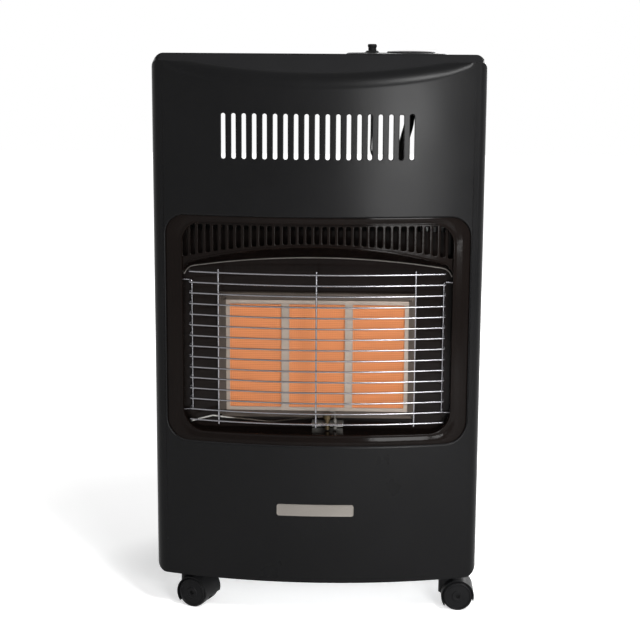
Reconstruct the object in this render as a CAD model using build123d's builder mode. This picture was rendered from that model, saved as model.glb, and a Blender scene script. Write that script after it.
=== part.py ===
from build123d import *
from math import asin, cos, pi, radians, sin, sqrt, tan
import os

os.makedirs("parts", exist_ok=True)

# A portable gas cabinet heater on four twin-wheel casters, in millimetres.
# +Z is up, the front faces -Y, and the origin is on the floor under the middle of the cabinet.

# ---------------------------------------------------------------- cabinet: driving dimensions
cabinet_width = 420
cabinet_depth = 400
cabinet_height = 720
cabinet_bottom = 50
sheet = 1.0
seam = 0.3
bow_depth = 35.2
plan_corner = 12
rear_corner = 6
edge_round = 14
crease_height = cabinet_height - 22.4
crease_slope = 0.65
crease_round = 12
panel_split_setback = 59
top_split_height = cabinet_height - 16
return_flange = 26
front_flange = 15
rear_flange_side = 22
rear_flange_top = 30

vent_count = 19
vent_pitch = 13.0
vent_width = 6.5
vent_top = cabinet_height - 65.1
vent_bottom = vent_top - 56.3

opening_width = cabinet_width - 34
opening_bottom = 233.1
opening_top = cabinet_height - 193.5
opening_corner_top = 25
opening_corner_bottom = 28
opening_lip = 4.0

badge_width = 99
badge_height = 20
badge_bottom = 138
badge_thickness = 0.8
badge_gap = 0.1
badge_corner = 3

# ---------------------------------------------------------------- rear cover and its lift-off hinge
hinge_rod_radius = 2.5
hinge_clearance = 0.1
hinge_height = 62
hinge_rod_length = cabinet_width - 116
hinge_ear_reach = cabinet_width / 2 - 60
hinge_ear_offsets = (-hinge_ear_reach, 0, hinge_ear_reach)
hinge_ear_thickness = 2
hook_wall = 1.0
hook_width = 40
hook_offset = 100
hook_mouth = 90
cover_width = cabinet_width - 22
cover_bottom = 66.5
cover_top = opening_top + 18.5
louvre_width = 130
louvre_slot = 4
louvre_reach = 4.2
louvre_pitch = 15
louvre_count = 5
louvre_offset = 85
louvre_row_bottoms = (95, 405)
finger_slot_width = 90
finger_slot_height = 22

# ---------------------------------------------------------------- floor pan and casters
base_thickness = 1.5
base_flange_top = 66
wheel_radius = 20
wheel_width = 17
wheel_bore_clearance = 0.06
axle_radius = 3
web_thickness = 6
hood_clearance = 0.5
hood_wall = 1.3
hood_short_tip = 6
hood_long_tip = 13
caster_trail = 16
stem_radius = 5.5
stem_clearance = 0.06
stem_top = 70
boss_radius = 9
socket_flange_radius = 11.5
socket_flange = 3
socket_radius = 7
socket_top = 72
caster_gap = 0.3
# stem x, stem y, and the direction in degrees in which the wheels trail
caster_front_x = cabinet_width / 2 - 38
caster_rear_x = cabinet_width / 2 - 45
caster_front_y = 60 - cabinet_depth / 2
caster_rear_y = cabinet_depth / 2 - 50
caster_places = {
    "front_left": (-caster_front_x, caster_front_y, -22),
    "front_right": (caster_front_x, caster_front_y, 0),
    "rear_left": (-caster_rear_x, caster_rear_y, -10),
    "rear_right": (caster_rear_x, caster_rear_y, 8),
}

# ---------------------------------------------------------------- enamelled surround and wire guard
surround_gap = 0.1
surround_overlap = 6
surround_opening_width = opening_width - 43
surround_opening_bottom = 247
lip_apex = opening_top - 38.5
lip_radius = 590
surround_corner_bottom = 20
surround_corner_top = 12
grille_count = 35
grille_pitch = 9.88
grille_slot_width = 5.6
grille_top = opening_top - 11.5
grille_bottom_apex = opening_top - 33.5
grille_bottom_radius = 732
grille_corner = 1.6
visor_slope = 0.512
reflector_setback = 46

guard_setback = 3
guard_wire_radius = 1.1
guard_rows = 15
guard_row_pitch = 13.79
guard_top_row = lip_apex - 33.7
guard_bend_x = surround_opening_width / 2 - 8.1
guard_bend_radius = 5
guard_column_offsets = (-125, 0, 125)
guard_side_x = surround_opening_width / 2 - 10.1
guard_side_setback = 42
guard_hook_top = guard_top_row - 13.3
guard_hook_bottom = 270
guard_weld = 0.3
guard_hole_radius = 1.4

# ---------------------------------------------------------------- burners
plaque_pitch = 81.5
plaque_width = 73
plaque_height = 147
plaque_thickness = 13
plaque_middle = 343.5
plaque_setback = 38
window_width = 71
window_height = 145
burner_frame_width = 254
burner_frame_height = 165
frame_corner = 3
gasket_thickness = 3
gasket_margin = 3
plaque_gap = 0.2
burner_wall = 1.0
burner_depth = 40
burner_tab = 8
mixing_tube_radius = 8
mixing_tube_setback = 66
mixing_tube_bottom = 215
bell_radius = 11
bell_height = 8

rail_size = 10
rail_length = 190
rail_bottom = 183
injector_radius = 3.5
injector_height = 12
injector_tip_radius = 1.6
injector_tip_height = 4

reflector_half_width = cabinet_width / 2 - 13
reflector_bottom = 236
reflector_top = opening_top - 21.5
partition_setback = 94.2
partition_top = opening_top + 29.5
partition_flange = 12

# ---------------------------------------------------------------- controls
control_setback = 184.2
knob_x = cabinet_width / 2 - 92
button_x = knob_x - 52
bezel_left = knob_x - 88
bezel_right = knob_x + 50
bezel_width = 84
bezel_rise = 6
bezel_round = 5
bezel_wall = 2
bowl_radius = 37
bowl_wall = 2
bowl_floor = cabinet_height - 12
knob_radius = 33
knob_bottom = cabinet_height - 5.5
knob_top = cabinet_height + 8.2
knob_round = 2.5
knob_rim = 5
grip_width = 9
grip_depth = 5
spindle_radius = 3
bore_clearance = 0.06
spindle_bottom = cabinet_height - 34
spindle_top = cabinet_height + 4
plunger_bottom = cabinet_height - 48
valve_radius = 14
valve_bottom = cabinet_height - 58
valve_top = cabinet_height - 20
valve_flange = 4
valve_flange_length = 44
valve_flange_width = 26
valve_bore_bottom = cabinet_height - 56
neck_radius = 7
neck_top = cabinet_height - 12.4
bracket_width = 32
bracket_sheet = 1.5
bracket_reach = 39
bracket_foot = 12
spring_radius = 2.2
spring_wire = 0.35
spring_turns = 4
boss_top = cabinet_height + 9
boss_top_radius = 7.2
boss_base_radius = 10.5
guide_bottom = cabinet_height - 17
guide_outer = 8
guide_inner = 6.45
button_radius = 6.15
button_top = cabinet_height + 17.5
button_skirt = cabinet_height - 6
button_stem_radius = 3
button_stem_bottom = cabinet_height - 30
piezo_bottom = cabinet_height - 65
piezo_bore_bottom = cabinet_height - 40
nut_radius = 11
nut_bottom = cabinet_height - 6.5

# ---------------------------------------------------------------- gas hose and regulator
hose_radius = 6.5
nozzle_shoulder = cabinet_height - 64
nozzle_radius = 8
barb_radius = 4
barb_length = 16
clamp_clearance = 0.1
clamp_wall = 1.2
clamp_width = 8
hose_bore_radius = 4.1
clamp_offset = 4
regulator_x = cabinet_width / 2 - 32
regulator_y = cabinet_depth / 2 - 100
regulator_radius = 26
regulator_foot_radius = 20
regulator_foot_height = 8
regulator_drum_height = 16
regulator_dome_radius = 14
regulator_dome_height = 12
regulator_outlet_height = 15
regulator_outlet_radius = 6.6
regulator_shoulder = 2
tap_radius = 13
tap_height = 10
tap_shaft_radius = 3
tap_shaft_depth = 8
tap_gap = 0.3

# ---------------------------------------------------------------- pilot, its leads and the gas pipes
pipe_radius = 3
pilot_pipe_radius = 2
lead_radius = 1.2
rail_run_height = 216
side_pipe_drop = 88
centre_pipe_drop = 86
pilot_pipe_drop = 50
rail_tab_x = -60
rail_tab_width = 30
pilot_x = 14
pilot_setback = 30
pilot_axis_height = 252
pilot_radius = 3.5
pilot_head_radius = 5.5
pilot_top = 268
electrode_x = 24
electrode_radius = 2.2
electrode_top = 262
electrode_wire = 0.6
bracket_plate_bottom = 256
pilot_bracket_left = -6
pilot_bracket_right = 34
lead_hole_margin = 0.4
pipe_column = 88
pipe_bend = 10
sides_pipe_x = cabinet_width / 2 - 50
centre_pipe_x = cabinet_width / 2 - 60
centre_entry_x = 20
pilot_pipe_x = cabinet_width / 2 - 70
valve_boss_reach = 20
side_boss_height = cabinet_height - 32
centre_boss_height = cabinet_height - 44
pilot_boss_reach = 20
pilot_boss_height = cabinet_height - 38
sensor_boss_reach = 18
sensor_boss_height = cabinet_height - 50
piezo_terminal = 5

# ---------------------------------------------------------------- values worked out from the above
half_width = cabinet_width / 2
half_depth = cabinet_depth / 2
front_y = -half_depth + badge_thickness
bow_radius = (half_width**2 + bow_depth**2) / (2 * bow_depth)
hook_inner = hinge_rod_radius + hinge_clearance
hook_outer = hook_inner + hook_wall
hinge_y = half_depth - hook_outer
cover_inner_y = hinge_y - hook_outer
cover_outer_y = cover_inner_y + hook_wall
back_y = cover_inner_y - seam
split_y = front_y + panel_split_setback
base_bottom = cabinet_bottom + sheet
base_top = base_bottom + base_thickness
reflector_y = front_y + reflector_setback
control_y = front_y + control_setback
partition_y = front_y + partition_setback
through = 2 * cabinet_depth


def bow_y(x, setback=0):
    """Y of the bowed front at x, moved back by setback."""
    return front_y + setback + bow_radius - sqrt(bow_radius**2 - x**2)


def bow_outline(side, setback, rear):
    """Plan outline with a bowed front, for use inside a BuildLine."""
    left = (-side, bow_y(side, setback))
    right = (side, bow_y(side, setback))
    ThreePointArc(left, (0, front_y + setback), right)
    Polyline(right, (side, rear), (-side, rear), left)


def bow_slab(setback, thickness, bottom, height, side=half_width - sheet):
    """Bowed plate that follows the cabinet's front, between two heights."""
    with BuildPart() as slab:
        with BuildSketch(Plane.XY.offset(bottom)):
            with BuildLine():
                left = (-side, bow_y(side, setback))
                right = (side, bow_y(side, setback))
                back_left = (-side, bow_y(side, setback + thickness))
                back_right = (side, bow_y(side, setback + thickness))
                ThreePointArc(left, (0, front_y + setback), right)
                Line(right, back_right)
                ThreePointArc(back_right, (0, front_y + setback + thickness), back_left)
                Line(back_left, left)
            make_face()
        extrude(amount=height)
    return slab.part


def bow_solid(setback, rear, bottom, height, side=half_width - sheet):
    """Everything behind the bowed surface at setback, back to the plane y = rear."""
    with BuildPart() as solid:
        with BuildSketch(Plane.XY.offset(bottom)):
            with BuildLine():
                bow_outline(side, setback, rear)
            make_face()
        extrude(amount=height)
    return solid.part


def cabinet_form(inset):
    """The cabinet's outer form, drawn in by inset on every side."""
    side = half_width - inset
    top = cabinet_height - inset
    bottom = cabinet_bottom + inset
    drop = inset * sqrt(1 + crease_slope**2)
    near_y = front_y - 20
    far_y = back_y + 20
    with BuildPart() as form:
        with BuildSketch(Plane.XY.offset(bottom)):
            with BuildLine():
                bow_outline(side + 20, inset, back_y - inset)
            make_face()
        extrude(amount=2 * cabinet_height)
        with BuildSketch(Plane.YZ):
            Polygon(
                (near_y, bottom - 10),
                (far_y, bottom - 10),
                (far_y, crease_height - drop + (far_y - front_y) * crease_slope),
                (near_y, crease_height - drop + (near_y - front_y) * crease_slope),
                align=None,
            )
        extrude(amount=cabinet_width, both=True, mode=Mode.INTERSECT)
        fillet(form.edges().filter_by(GeomType.ELLIPSE), crease_round - inset)
        with BuildSketch(Plane.XY.offset(bottom)) as plan:
            with BuildLine():
                bow_outline(side, inset, back_y - inset)
            make_face()
            fillet(plan.vertices().group_by(Axis.Y)[0], plan_corner - inset)
            fillet(plan.vertices().group_by(Axis.Y)[-1], rear_corner - inset)
        extrude(amount=cabinet_height, mode=Mode.INTERSECT)
        with BuildSketch(Plane.XZ):
            with Locations((0, (top + bottom) / 2)):
                RectangleRounded(2 * side, top - bottom, edge_round - inset)
        extrude(amount=cabinet_depth, both=True, mode=Mode.INTERSECT)
    return form.part


def tube(points, radius, bends):
    """Round tube along straight runs joined by tangent arcs."""
    with BuildPart() as run:
        with BuildLine() as path:
            FilletPolyline(*points, radius=bends)
        with BuildSketch(Plane(origin=path.line @ 0, z_dir=path.line % 0)):
            Circle(radius)
        sweep()
    return run.part


def opening_outline(width, bottom, top, corner_bottom, corner_top):
    """Front-view outline of an opening with rounded corners, on the XZ plane."""
    with BuildSketch(Plane.XZ) as outline:
        with Locations((0, (bottom + top) / 2)):
            Rectangle(width, top - bottom)
        fillet(outline.vertices().group_by(Axis.Y)[0], corner_bottom)
        fillet(outline.vertices().group_by(Axis.Y)[-1], corner_top)
    return outline.sketch


def surround_outline(grow):
    """Front-view outline of the surround's inner opening, with its arched top, made larger by grow."""
    side = surround_opening_width / 2 + grow
    bottom = surround_opening_bottom - grow
    radius = lip_radius + grow
    apex = lip_apex + grow
    shoulder = apex - radius + sqrt(radius**2 - side**2)
    with BuildSketch(Plane.XZ) as outline:
        with BuildLine():
            ThreePointArc((-side, shoulder), (0, apex), (side, shoulder))
            Polyline((side, shoulder), (side, bottom), (-side, bottom), (-side, shoulder))
        make_face()
        fillet(outline.vertices().group_by(Axis.Y)[0], surround_corner_bottom + grow)
        fillet(outline.vertices().group_by(Axis.Y)[-1], surround_corner_top + grow)
    return outline.sketch


# ================================================================ cabinet shell
outer_form = cabinet_form(0)
inner_form = cabinet_form(sheet)
shell = outer_form - inner_form

# screws that hold the side panels' bottom flanges to the floor pan
screw_radius = 2.0
screw_hole_radius = 2.2
screw_head_radius = 3.6
screw_head_height = 1.6
screw_offset = half_width - 20
screw_rows = (105 - half_depth, 180 - half_depth, half_depth - 140, half_depth - 80)
base_screw_places = [(x, y) for x in (-screw_offset, screw_offset) for y in screw_rows]

vent_middle = (vent_top + vent_bottom) / 2
vent_places = [((i - (vent_count - 1) / 2) * vent_pitch, vent_middle) for i in range(vent_count)]

opening_reach = opening_top - opening_bottom + 26.6
panel_opening = opening_outline(
    opening_width, opening_bottom, opening_top, opening_corner_bottom, opening_corner_top
)
rolled_outline = opening_outline(
    opening_width + 2 * sheet,
    opening_bottom - sheet,
    opening_top + sheet,
    opening_corner_bottom + sheet,
    opening_corner_top + sheet,
)

# the opening's edge, rolled inwards
with BuildPart() as rolled_lip:
    extrude(rolled_outline, amount=half_depth)
    extrude(panel_opening, amount=half_depth, mode=Mode.SUBTRACT)
    add(bow_slab(sheet / 2, opening_lip - sheet / 2, opening_bottom - 10, opening_reach), mode=Mode.INTERSECT)

# pressed steel front: bowed, with a sloping crescent above, vent slots and the burner opening
with BuildPart() as front_panel:
    add(shell)
    with Locations((0, split_y - through / 2, cabinet_height / 2)):
        Box(2 * cabinet_width, through, 2 * cabinet_height, mode=Mode.INTERSECT)
    with BuildSketch(Plane.XZ):
        with Locations(*vent_places):
            SlotOverall(vent_top - vent_bottom, vent_width, rotation=90)
    extrude(amount=half_depth, mode=Mode.SUBTRACT)
    extrude(panel_opening, amount=half_depth, mode=Mode.SUBTRACT)
    add(
        bow_solid(front_flange, split_y + 1, cabinet_bottom - 1, sheet + 2, half_width - return_flange),
        mode=Mode.SUBTRACT,
    )
    add(rolled_lip.part)
front_panel.part.label = "front_panel"
export_step(front_panel.part, "parts/front_panel.step")

# flat sides that turn under the floor pan and in behind the rear cover
for side_name, side_sign in (("left_side", -1), ("right_side", 1)):
    inner_x = half_width - return_flange
    with BuildPart() as side_panel:
        add(shell)
        with Locations((side_sign * (inner_x + cabinet_width / 2), (split_y + seam + back_y + 1) / 2, 0)):
            Box(
                cabinet_width,
                back_y + 1 - split_y - seam,
                2 * (top_split_height - seam),
                mode=Mode.INTERSECT,
            )
        rear_cut_bottom = cabinet_bottom + 2 * sheet
        with Locations((side_sign * (half_width - rear_flange_side - cabinet_width / 2), back_y, rear_cut_bottom)):
            Box(
                cabinet_width,
                3 * sheet,
                cabinet_height,
                align=(Align.CENTER, Align.CENTER, Align.MIN),
                mode=Mode.SUBTRACT,
            )
        with Locations(*[(x, y, cabinet_bottom) for x, y in base_screw_places]):
            Cylinder(screw_hole_radius, 4, mode=Mode.SUBTRACT)
    side_panel.part.label = side_name
    export_step(side_panel.part, f"parts/{side_name}.step")

# lid with rounded edges, a rear flange, and holes for the control bezel
with BuildPart() as top_panel:
    add(shell)
    with Locations((0, (split_y + seam + back_y + 1) / 2, top_split_height + cabinet_height / 2)):
        Box(2 * cabinet_width, back_y + 1 - split_y - seam, cabinet_height, mode=Mode.INTERSECT)
    with Locations((knob_x, control_y, cabinet_height)):
        Cylinder(bowl_radius + seam, 6 * sheet, mode=Mode.SUBTRACT)
    with Locations((button_x, control_y, cabinet_height)):
        Cylinder(guide_outer + seam, 6 * sheet, mode=Mode.SUBTRACT)
    # the rear flange hangs down between the side panels' flanges
    with Locations((0, back_y - sheet / 2, (cabinet_height - rear_flange_top + top_split_height + 2) / 2)):
        Box(
            cabinet_width - 2 * rear_flange_side - 2 * seam,
            sheet,
            top_split_height + 2 - cabinet_height + rear_flange_top,
        )
top_panel.part.label = "top_panel"
export_step(top_panel.part, "parts/top_panel.step")

# floor pan: carries the casters, the partition and the hinge rod of the rear cover
pan_side = half_width - edge_round - 0.7
pan_rear_y = back_y - sheet - 0.2
ear_height = 2 * hook_outer
with BuildPart() as base_plate:
    add(bow_solid(sheet + seam, pan_rear_y, base_bottom, base_thickness, pan_side))
    with Locations((0, pan_rear_y - base_thickness / 2, (base_bottom + base_flange_top) / 2)):
        Box(2 * (half_width - rear_flange_side), base_thickness, base_flange_top - base_bottom)
    for ear_x in hinge_ear_offsets:
        with BuildSketch(Plane.YZ.offset(ear_x - hinge_ear_thickness / 2)):
            with Locations((hinge_y, hinge_height)):
                Circle(hook_outer)
            with Locations(((hinge_y + pan_rear_y - base_thickness / 2) / 2, hinge_height)):
                Rectangle(hinge_y - pan_rear_y + base_thickness / 2, ear_height)
            with Locations((hinge_y, hinge_height)):
                Circle(hinge_rod_radius + bore_clearance, mode=Mode.SUBTRACT)
        extrude(amount=hinge_ear_thickness)
    with Locations(*[(x, y, base_bottom) for x, y, _ in caster_places.values()]):
        Cylinder(socket_radius + 0.1, 6 * base_thickness, mode=Mode.SUBTRACT)
    with Locations(*[(x, y, base_bottom) for x, y in base_screw_places]):
        Cylinder(screw_hole_radius, 6 * base_thickness, mode=Mode.SUBTRACT)
base_plate.part.label = "base_plate"
export_step(base_plate.part, "parts/base_plate.step")

# pan-head screws through the side panels' bottom flanges and the floor pan
with BuildPart() as base_screws:
    with Locations(*[(x, y, cabinet_bottom - screw_head_height) for x, y in base_screw_places]):
        Cylinder(screw_head_radius, screw_head_height, align=(Align.CENTER, Align.CENTER, Align.MIN))
        Cylinder(screw_radius, screw_head_height + 8, align=(Align.CENTER, Align.CENTER, Align.MIN))
base_screws.part.label = "base_screws"
export_step(base_screws.part, "parts/base_screws.step")

# bare bowed name plate
with BuildPart() as badge_plate:
    with BuildSketch(Plane.XZ):
        with Locations((0, badge_bottom + badge_height / 2)):
            RectangleRounded(badge_width, badge_height, badge_corner)
    extrude(amount=half_depth + 1)
    add(
        bow_slab(-badge_thickness, badge_thickness - badge_gap, badge_bottom - 1, badge_height + 2),
        mode=Mode.INTERSECT,
    )
badge_plate.part.label = "badge_plate"
export_step(badge_plate.part, "parts/badge_plate.step")

# ================================================================ rear cover
with BuildPart() as hinge_rod:
    with Locations(Plane((0, hinge_y, hinge_height), z_dir=(1, 0, 0))):
        Cylinder(hinge_rod_radius, hinge_rod_length)
hinge_rod.part.label = "hinge_rod"
export_step(hinge_rod.part, "parts/hinge_rod.step")

louvre_places = [
    (x, row_bottom + i * louvre_pitch)
    for row_bottom in louvre_row_bottoms
    for x in (-louvre_offset, louvre_offset)
    for i in range(louvre_count)
]
with BuildPart() as rear_cover:
    with BuildSketch(Plane.XZ.offset(-cover_outer_y)) as cover_outline:
        with Locations((0, (cover_bottom + cover_top) / 2)):
            RectangleRounded(cover_width, cover_top - cover_bottom, 8)
        with Locations((0, cover_top - 30)):
            SlotOverall(finger_slot_width, finger_slot_height, mode=Mode.SUBTRACT)
        with Locations(*louvre_places):
            Rectangle(louvre_width, louvre_slot, mode=Mode.SUBTRACT)
    extrude(amount=hook_wall)
    # a hood over each louvre slot
    with BuildSketch(Plane.YZ) as hood:
        for height in sorted({z for _, z in louvre_places}):
            Polygon(
                (cover_outer_y, height + louvre_slot / 2 + 5),
                (cover_outer_y + louvre_reach, height + 0.5),
                (cover_outer_y + louvre_reach, height - 0.8),
                (cover_outer_y - 0.1, height + louvre_slot / 2 + 3.6),
                (cover_outer_y - 0.1, height + louvre_slot / 2 + 5),
                align=None,
            )
    for x in (-85, 85):
        extrude(hood.sketch.moved(Location((x - louvre_width / 2, 0, 0))), amount=louvre_width)
    # hooks that hang over the hinge rod and lift off upwards
    for x in (-hook_offset, hook_offset):
        with BuildSketch(Plane.YZ.offset(x - hook_width / 2)):
            with Locations((hinge_y, hinge_height)):
                Circle(hook_outer)
                Circle(hook_inner, mode=Mode.SUBTRACT)
            with BuildLine():
                reach = 2 * hook_outer
                mouth = reach * tan(radians(hook_mouth / 2))
                Polyline(
                    (hinge_y, hinge_height),
                    (hinge_y - mouth, hinge_height - reach),
                    (hinge_y + mouth, hinge_height - reach),
                    (hinge_y, hinge_height),
                )
            make_face(mode=Mode.SUBTRACT)
            with Locations((cover_inner_y + hook_wall / 2, (hinge_height + cover_bottom + 1) / 2)):
                Rectangle(hook_wall, cover_bottom + 1 - hinge_height)
        extrude(amount=hook_width)
rear_cover.part.label = "rear_cover"
export_step(rear_cover.part, "parts/rear_cover.step")

# ================================================================ casters
with BuildPart() as caster_sockets:
    with Locations(*[(x, y, base_bottom) for x, y, _ in caster_places.values()]):
        Cylinder(socket_flange_radius, socket_flange, align=(Align.CENTER, Align.CENTER, Align.MAX))
        Cylinder(socket_radius, socket_top - base_bottom, align=(Align.CENTER, Align.CENTER, Align.MIN))
    with Locations(*[(x, y, base_bottom - socket_flange) for x, y, _ in caster_places.values()]):
        Cylinder(
            stem_radius + stem_clearance,
            stem_top + 0.5 - base_bottom + socket_flange,
            align=(Align.CENTER, Align.CENTER, Align.MIN),
            mode=Mode.SUBTRACT,
        )
caster_sockets.part.label = "caster_sockets"
export_step(caster_sockets.part, "parts/caster_sockets.step")

hood_inner = wheel_radius + hood_clearance
hood_outer = hood_inner + hood_wall
caster_width = web_thickness + 2 * (wheel_width + hood_clearance)
boss_height = base_bottom - socket_flange - caster_gap
for place, (stem_x, stem_y, heading) in caster_places.items():
    trail = Vector(cos(radians(heading)), sin(radians(heading)), 0)
    axle_direction = trail.cross(Vector(0, 0, 1))
    axle_plane = Plane(
        origin=Vector(stem_x, stem_y, wheel_radius) + trail * caster_trail,
        x_dir=trail,
        z_dir=axle_direction,
    )
    # hood over both wheels, with the web between them, the axle and the swivel stem in one moulding
    with BuildPart() as caster_fork:
        with BuildSketch(axle_plane):
            Circle(hood_outer)
            Circle(hood_inner, mode=Mode.SUBTRACT)
            with BuildLine():
                Polyline(
                    (0, 0),
                    (3 * hood_outer, -3 * hood_outer * tan(asin(hood_short_tip / hood_outer))),
                    (3 * hood_outer, -3 * hood_outer),
                    (-3 * hood_outer, -3 * hood_outer),
                    (-3 * hood_outer, -3 * hood_outer * tan(asin(hood_long_tip / hood_outer))),
                    (0, 0),
                )
            make_face(mode=Mode.SUBTRACT)
        extrude(amount=caster_width / 2, both=True)
        with BuildSketch(Plane((stem_x, stem_y, wheel_radius), x_dir=trail, z_dir=(0, 0, 1))):
            Circle(boss_radius)
        extrude(amount=boss_height - wheel_radius)
        with BuildSketch(axle_plane):
            Circle(hood_inner)
        extrude(amount=caster_width / 2 + 1, both=True, mode=Mode.SUBTRACT)
        with BuildSketch(axle_plane):
            Circle(hood_inner + 0.1)
            with Locations((0, -hood_outer - axle_radius - 2)):
                Rectangle(3 * hood_outer, 2 * hood_outer, mode=Mode.SUBTRACT)
        extrude(amount=web_thickness / 2, both=True)
        with BuildSketch(axle_plane):
            Circle(axle_radius)
        extrude(amount=caster_width / 2 - 3, both=True)
        with BuildSketch(Plane.XY.offset(boss_height - 2)):
            with Locations((stem_x, stem_y)):
                Circle(stem_radius)
        extrude(amount=stem_top - boss_height + 2)
    caster_fork.part.label = f"caster_fork_{place}"
    export_step(caster_fork.part, f"parts/caster_fork_{place}.step")

    # twin wheels, one each side of the web
    with BuildPart() as caster_wheels:
        for wheel_sign in (-1, 1):
            near = web_thickness / 2 + hood_clearance / 2
            wheel_plane = axle_plane.offset(wheel_sign * (near + wheel_width / 2))
            with BuildSketch(wheel_plane):
                Circle(wheel_radius)
                Circle(axle_radius + wheel_bore_clearance, mode=Mode.SUBTRACT)
            extrude(amount=wheel_width / 2, both=True)
            # blind dish in the outer face of each wheel
            with BuildSketch(axle_plane.offset(wheel_sign * (near + wheel_width - 1.5))):
                Circle(wheel_radius - 3.5)
                Circle(axle_radius + 3, mode=Mode.SUBTRACT)
            extrude(amount=wheel_sign * 3, mode=Mode.SUBTRACT)
    caster_wheels.part.label = f"caster_wheels_{place}"
    export_step(caster_wheels.part, f"parts/caster_wheels_{place}.step")

# ================================================================ inside the cabinet
with BuildPart() as inner_partition:
    with BuildSketch(Plane.XZ.offset(-partition_y)) as partition_outline:
        with Locations((0, (base_top + partition_top) / 2)):
            Rectangle(cabinet_width - 2 * sheet - 0.2, partition_top - base_top)
        fillet(partition_outline.vertices().group_by(Axis.Y)[0], edge_round)
    extrude(amount=-sheet)
    with Locations((0, partition_y + (sheet + partition_flange) / 2, partition_top - sheet / 2)):
        Box(cabinet_width - 2 * sheet - 0.2, sheet + partition_flange, sheet)
inner_partition.part.label = "inner_partition"
export_step(inner_partition.part, "parts/inner_partition.step")

burner_places = (-plaque_pitch, 0, plaque_pitch)
window_side = plaque_pitch + plaque_width / 2 + 1.5
web_height = reflector_top - reflector_bottom
lead_entry_x = 7.5 - surround_opening_width / 2
lead_entry_height = 254.5
with BuildPart() as reflector:
    with BuildSketch(Plane.XZ.offset(-reflector_y)):
        with Locations((0, (reflector_bottom + reflector_top) / 2)):
            Rectangle(2 * reflector_half_width, web_height)
        with Locations((0, plaque_middle)):
            Rectangle(2 * window_side, plaque_height + 3, mode=Mode.SUBTRACT)
        with Locations((pilot_x, pilot_axis_height)):
            Circle(pilot_pipe_radius + lead_hole_margin, mode=Mode.SUBTRACT)
        with Locations((electrode_x, pilot_axis_height), (lead_entry_x, lead_entry_height)):
            Circle(lead_radius + lead_hole_margin, mode=Mode.SUBTRACT)
    extrude(amount=-sheet)
    web_depth = partition_y - reflector_y
    with Locations(
        (-reflector_half_width + sheet / 2, reflector_y + web_depth / 2, (reflector_bottom + reflector_top) / 2),
        (reflector_half_width - sheet / 2, reflector_y + web_depth / 2, (reflector_bottom + reflector_top) / 2),
    ):
        Box(sheet, web_depth, web_height)
reflector.part.label = "reflector"
export_step(reflector.part, "parts/reflector.step")

# ================================================================ enamelled surround
surround_front = opening_lip + surround_gap
surround_side = surround_opening_width / 2
visor_rise = visor_slope * (surround_front + bow_y(surround_side) - front_y)
visor_apex = lip_apex + 0.5 + visor_slope * surround_front
visor_edge = lip_apex - lip_radius + sqrt(lip_radius**2 - surround_side**2) + 1 + visor_rise
visor_length = reflector_setback * sqrt(1 + visor_slope**2)
visor_direction = (0, 1, -visor_slope)
visor_wall = 1.2


def visor_band(thickness):
    """Front-view band above the visor's arch, in the plane of the cabinet's foremost point."""
    with BuildSketch(Plane.XZ.offset(-front_y)) as band:
        with BuildLine():
            left = (-surround_side, visor_edge)
            right = (surround_side, visor_edge)
            ThreePointArc(left, (0, visor_apex), right)
            Line(right, (surround_side, visor_edge + thickness))
            ThreePointArc(
                (surround_side, visor_edge + thickness),
                (0, visor_apex + thickness),
                (-surround_side, visor_edge + thickness),
            )
            Line((-surround_side, visor_edge + thickness), left)
        make_face()
    return band.sketch


surround_panel = opening_outline(
    opening_width + 2 * surround_overlap,
    opening_bottom - surround_overlap,
    opening_top + surround_overlap,
    opening_corner_bottom + surround_overlap,
    opening_corner_top + surround_overlap,
)

# sloping visor between the grille and the burners
with BuildPart() as visor:
    extrude(visor_band(visor_wall), amount=visor_length, dir=visor_direction)
    add(
        bow_solid(surround_front, reflector_y, surround_opening_bottom, opening_reach, surround_side + sheet),
        mode=Mode.INTERSECT,
    )

# walls that run back from the opening's bottom and sides to the reflector
with BuildPart() as surround_walls:
    extrude(surround_outline(sheet), amount=-front_y)
    extrude(surround_outline(0), amount=-front_y, mode=Mode.SUBTRACT)
    add(
        bow_solid(surround_front, reflector_y, surround_opening_bottom - 2, opening_reach, surround_side + sheet),
        mode=Mode.INTERSECT,
    )
    above_visor = visor_band(120).moved(Location((0, 0, visor_wall / 2)))
    extrude(above_visor, amount=visor_length, dir=visor_direction, mode=Mode.SUBTRACT)

grille_offsets = [(i - (grille_count - 1) / 2) * grille_pitch for i in range(grille_count)]
with BuildPart() as surround:
    extrude(surround_panel, amount=-front_y)
    extrude(surround_outline(0), amount=-front_y, mode=Mode.SUBTRACT)
    with BuildSketch(Plane.XZ):
        for x in grille_offsets:
            bottom = grille_bottom_apex - grille_bottom_radius + sqrt(grille_bottom_radius**2 - x**2)
            with Locations((x, (grille_top + bottom) / 2)):
                RectangleRounded(grille_slot_width, grille_top - bottom, grille_corner)
    extrude(amount=-front_y, mode=Mode.SUBTRACT)
    add(bow_slab(surround_front, sheet, opening_bottom - 10, opening_reach), mode=Mode.INTERSECT)
    add(visor.part)
    add(surround_walls.part)
    hook_y = front_y + guard_side_setback
    for hook_sign in (-1, 1):
        for hook_z in (guard_hook_top, guard_hook_bottom):
            with Locations(Plane((hook_sign * surround_side, hook_y, hook_z), z_dir=(1, 0, 0))):
                Cylinder(guard_hole_radius, 6 * sheet, mode=Mode.SUBTRACT)
surround.part.label = "surround"
export_step(surround.part, "parts/surround.step")

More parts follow.
